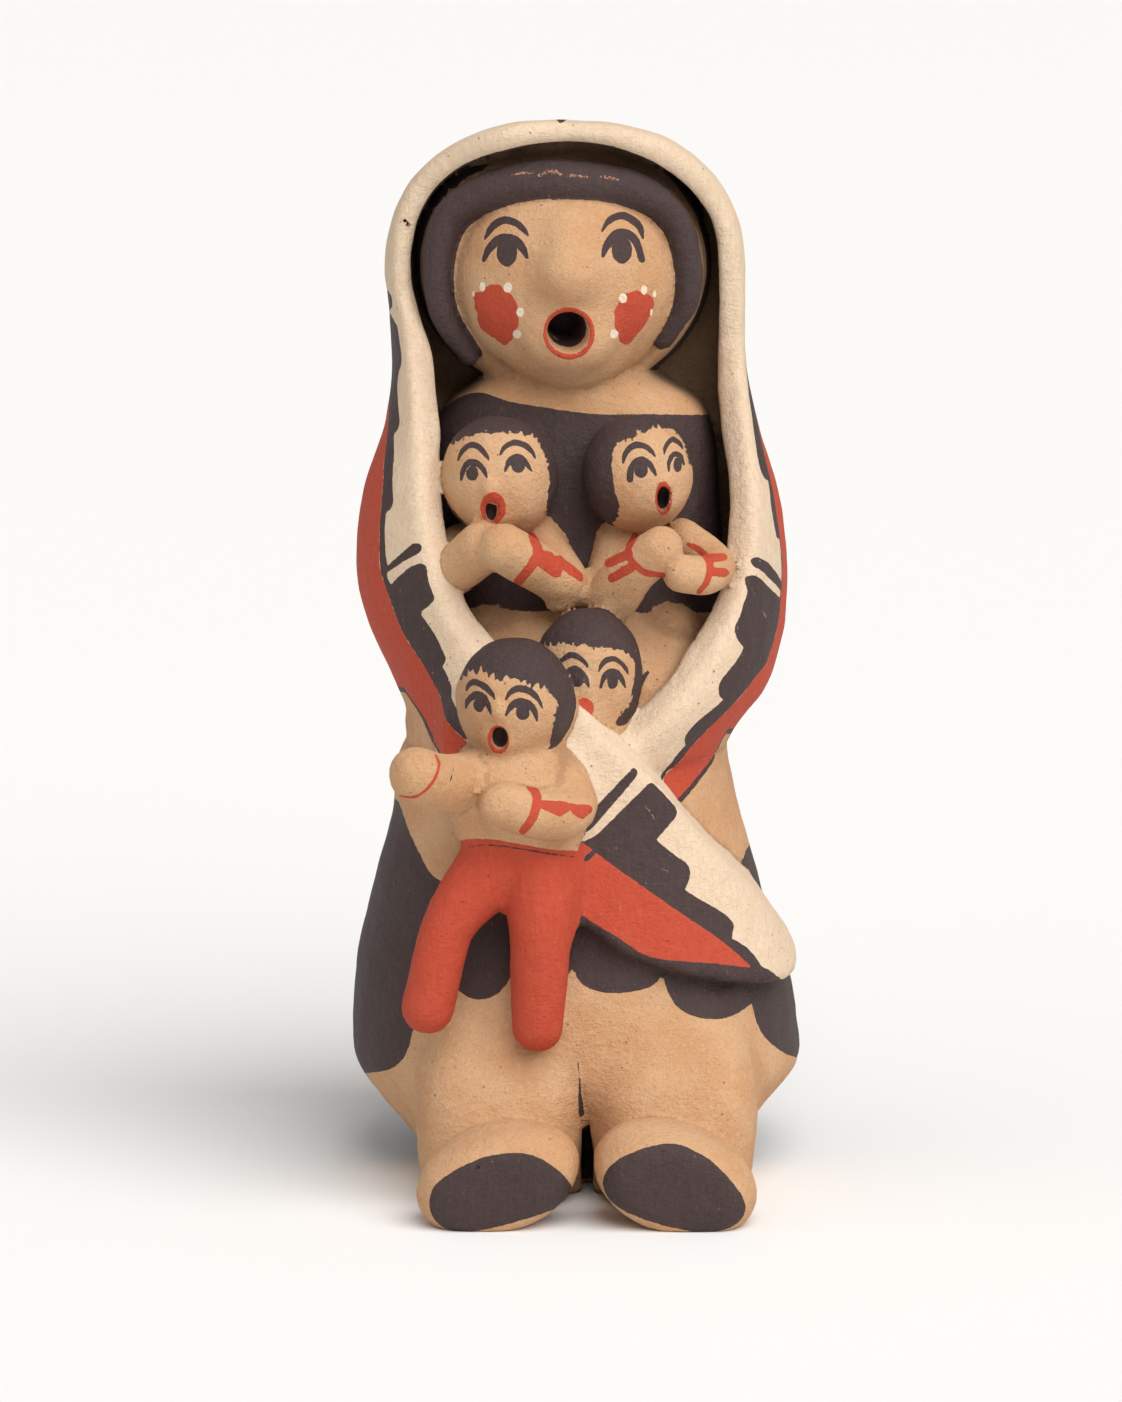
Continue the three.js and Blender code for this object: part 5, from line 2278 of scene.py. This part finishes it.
@dataclass(frozen=True)
class HandMarks:
    """What the fingers leave: fine wrinkles near the joints and crumbs of clay pressed onto them."""

    wrinkle_depth: float = 0.35
    wrinkle_size: float = 2.2
    crumb_size: float = 0.22
    crumbs: float = 0.22
    seed: int = 8

    def _tree(self) -> Tree:
        """Builds the node tree with its named inputs."""
        tree = bpy.data.node_groups.new("Hand marks", "GeometryNodeTree")
        tree.interface.new_socket("Geometry", in_out="INPUT", socket_type="NodeSocketGeometry")
        for name in ("Wrinkle depth", "Wrinkle size", "Crumb size", "Crumbs"):
            tree.interface.new_socket(name, in_out="INPUT", socket_type="NodeSocketFloat")
        tree.interface.new_socket("Seed", in_out="INPUT", socket_type="NodeSocketInt")
        tree.interface.new_socket("Material", in_out="INPUT", socket_type="NodeSocketMaterial")
        tree.interface.new_socket("Geometry", in_out="OUTPUT", socket_type="NodeSocketGeometry")
        given = add_node(tree, "NodeGroupInput").outputs
        wrinkled = {"Name": "wrinkled"}
        rough = add_node(tree, "GeometryNodeInputNamedAttribute", wrinkled, data_type="FLOAT").outputs[0]
        scale = add_node(tree, MATH, (1.0, given["Wrinkle size"]), operation="DIVIDE")
        noise = add_node(tree, "ShaderNodeTexNoise", {"Scale": scale, "Detail": 3.0}).outputs["Fac"]
        lift = add_node(tree, MATH, (noise, 0.5), operation="SUBTRACT")
        for factor in (rough, given["Wrinkle depth"]):
            lift = add_node(tree, MATH, (lift, factor), operation="MULTIPLY")
        normal = add_node(tree, "GeometryNodeInputNormal").outputs[0]
        outwards = {0: normal, "Scale": lift}
        offset = add_node(tree, "ShaderNodeVectorMath", outwards, operation="SCALE")
        lifted = {"Geometry": given["Geometry"], "Offset": offset}
        moved = add_node(tree, "GeometryNodeSetPosition", lifted).outputs[0]
        density = add_node(tree, MATH, (rough, given["Crumbs"]), operation="MULTIPLY")
        spread = add_node(
            tree,
            "GeometryNodeDistributePointsOnFaces",
            {"Mesh": moved, "Density": density, "Seed": given["Seed"]},
            distribute_method="RANDOM",
        )
        round_crumb = {"Radius": given["Crumb size"], "Subdivisions": 1}
        crumb = add_node(tree, "GeometryNodeMeshIcoSphere", round_crumb)
        sizes = {2: 0.45, 3: 1.3, "Seed": given["Seed"]}
        size = add_node(tree, "FunctionNodeRandomValue", sizes, data_type="FLOAT")
        placed = add_node(
            tree,
            "GeometryNodeInstanceOnPoints",
            {
                "Points": spread.outputs["Points"],
                "Instance": crumb.outputs["Mesh"],
                "Rotation": spread.outputs["Rotation"],
                "Scale": size.outputs[1],
            },
        )
        joined = add_node(tree, "GeometryNodeJoinGeometry")
        tree.links.new(placed.outputs["Instances"], joined.inputs[0])
        tree.links.new(moved, joined.inputs[0])
        real = add_node(tree, "GeometryNodeRealizeInstances", {"Geometry": joined.outputs[0]}).outputs[0]
        smooth = add_node(tree, "GeometryNodeSetShadeSmooth", {0: real}).outputs[0]
        finished = {"Geometry": smooth, "Material": given["Material"]}
        dressed = add_node(tree, "GeometryNodeSetMaterial", finished)
        add_node(tree, "NodeGroupOutput", {0: dressed.outputs[0]})
        return tree

    def press_into(self, piece: bpy.types.Object, material: bpy.types.Material) -> None:
        """Works the marks into a piece and leaves it a plain mesh.

        Args:
            piece: The clay, with its wrinkled attribute.
            material: The finish of the whole.
        """
        tree = self._tree()
        modifier = piece.modifiers.new("Hand marks", "NODES")
        modifier.node_group = tree
        values = {
            "Wrinkle depth": self.wrinkle_depth * MILLIMETRE,
            "Wrinkle size": self.wrinkle_size * MILLIMETRE,
            "Crumb size": self.crumb_size * MILLIMETRE,
            "Crumbs": self.crumbs / MILLIMETRE**2,
            "Seed": self.seed,
            "Material": material,
        }
        for item in tree.interface.items_tree:
            if item.in_out == "INPUT" and item.name in values:
                modifier[item.identifier] = values[item.name]
        graph = bpy.context.evaluated_depsgraph_get()
        finished = bpy.data.meshes.new_from_object(piece.evaluated_get(graph), depsgraph=graph)
        piece.modifiers.remove(modifier)
        piece.data = finished


@dataclass
class Storyteller:
    """The whole figure: the net over the clay, its paint and the marks of the hands."""

    unit: float
    quick: bool
    clay: Clay = field(default_factory=lambda: Clay(Shawl(), Flap(), Woman(), CHILDREN))
    marks: HandMarks = HandMarks()
    finish: PaintedClay = PaintedClay()
    joint_reach: float = 1.8

    def build(self) -> bpy.types.Object:
        """Builds, paints and finishes the figure.

        Returns:
            The finished piece.
        """
        paint = Paintwork(self.clay, PhotoView())
        net = Net(self.clay, 2.6 if self.quick else 2.0)
        log.info("net: %d points", len(net.points))
        net.refine(paint.wanted, 4 if self.quick else 10)
        for _ in range(2):
            net.relax(0.4)
            net.press()
        log.info("pressed: %d triangles", len(net.faces))
        mesh = bpy.data.meshes.new("storyteller_clay")
        mesh.from_pydata(net.points * self.unit, [], net.faces)
        coats = paint.coats(net.points)
        for coat, inside in coats.items():
            self._keep(mesh, f"paint_{coat.value}", inside)
        # The painted shade inside the hood's hollow, one number a point.
        self._keep(mesh, "hollow_shade", paint.hollow_shade(net.points))
        joint = 2 * np.max(list(self.clay.territories(net.points).values()), axis=0)
        self._keep(mesh, "joint", joint)
        bare = np.max(list(coats.values()), axis=0) < 0
        ahead = net.points[:, 1] < 0
        self._keep(mesh, "wrinkled", np.clip(1 - joint / self.joint_reach, 0, 1) * bare * ahead)
        piece = bpy.data.objects.new("storyteller_clay", mesh)
        bpy.context.scene.collection.objects.link(piece)
        self.marks.press_into(piece, self.finish.build())
        return piece

    @staticmethod
    def _keep(mesh: bpy.types.Mesh, name: str, values: Array) -> None:
        """Keeps one number for each point of the mesh under a name."""
        attribute = mesh.attributes.new(name, "FLOAT", "POINT")
        attribute.data.foreach_set("value", np.clip(values, -4, 4).astype(np.float32))


@dataclass(frozen=True)
class Studio:
    """A pale floor, two broad soft lights and the photograph's camera."""

    view: PhotoView
    floor: float = 60.0
    sensor: float = 36.0
    picture_middle: tuple[float, float] = (561.0, 701.0)
    # Each light: where it shines from, its power and how wide it is, in degrees.
    lights: tuple[tuple[Triple, float, float], ...] = (
        ((0.5, -0.75, 0.98), 3.3, 60),
        ((-0.7, -0.4, 0.85), 0.42, 70),
    )
    ambient: float = 0.29

    def build(self, unit: float) -> None:
        """Builds the floor, the lights and the camera."""
        self._floor()
        for number, (place, power, width) in enumerate(self.lights):
            self._light(f"light_{number + 1}", place, power, width)
        bpy.context.scene.world = self._world()
        bpy.context.scene.view_settings.view_transform = "Standard"
        self._camera(unit)

    def _world(self) -> bpy.types.World:
        """Builds the soft light from all around, which the camera sees as plain white."""
        world = bpy.data.worlds.new("studio")
        world.use_nodes = True
        tree = world.node_tree
        tree.nodes.clear()
        soft = add_node(tree, "ShaderNodeBackground", {"Color": "#fffdfb", "Strength": self.ambient})
        seen = add_node(tree, "ShaderNodeBackground", {"Color": "#fefdfc", "Strength": 1.0})
        camera = add_node(tree, "ShaderNodeLightPath").outputs["Is Camera Ray"]
        both = add_node(tree, "ShaderNodeMixShader", {0: camera, 1: soft, 2: seen})
        add_node(tree, "ShaderNodeOutputWorld", {"Surface": both})
        return world

    def _floor(self) -> None:
        """Lays the pale floor."""
        half = self.floor / 2
        mesh = bpy.data.meshes.new("floor")
        corners = [(-half, -half, 0), (half, -half, 0), (half, half, 0), (-half, half, 0)]
        mesh.from_pydata(corners, [], [(0, 1, 2, 3)])
        floor = bpy.data.objects.new("floor", mesh)
        bpy.context.scene.collection.objects.link(floor)
        # Pale matte paper that takes soft shadows.
        material = bpy.data.materials.new("pale_matte_paper")
        material.use_nodes = True
        shader = material.node_tree.nodes["Principled BSDF"]
        shader.inputs["Base Color"].default_value = linear("#efeeec")
        shader.inputs["Roughness"].default_value = 0.95
        mesh.materials.append(material)

    @staticmethod
    def _light(name: str, place: Triple, power: float, width: float) -> None:
        """Hangs a broad light that shines from a place towards the figure."""
        lamp = bpy.data.lights.new(name, "SUN")
        lamp.energy = power
        lamp.angle = math.radians(width)
        light = bpy.data.objects.new(name, lamp)
        light.location = place
        x, y, z = place
        light.rotation_euler = (math.atan2(math.hypot(x, y), z), 0, math.atan2(x, -y))
        bpy.context.scene.collection.objects.link(light)

    def _camera(self, unit: float) -> None:
        """Places the camera so that its picture falls on the photograph's pixels."""
        view = self.view
        lens = bpy.data.cameras.new("camera")
        longest = max(view.frame)
        lens.sensor_width = self.sensor
        lens.lens = view.focal * self.sensor / longest
        lens.shift_x = (self.picture_middle[0] - view.target[0]) / longest
        lens.shift_y = -(self.picture_middle[1] - view.target[1]) / longest
        camera = bpy.data.objects.new("camera", lens)
        camera.location = view.axes()[0] * unit
        camera.rotation_euler = (math.pi / 2 - view.elevation, 0, 0)
        bpy.context.scene.collection.objects.link(camera)
        bpy.context.scene.camera = camera


def main() -> None:
    """Builds the dressed figure and the studio around it."""
    logging.basicConfig(level=logging.INFO, format="%(name)s: %(message)s")
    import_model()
    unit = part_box(NODE)[1].z / FIGURE_HEIGHT
    figure = Storyteller(unit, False).build()
    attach(figure, "root")
    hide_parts(NODE)
    log.info("%s: %d faces", figure.name, len(figure.data.polygons))
    Studio(PhotoView()).build(unit)


if __name__ == "__main__":
    main()
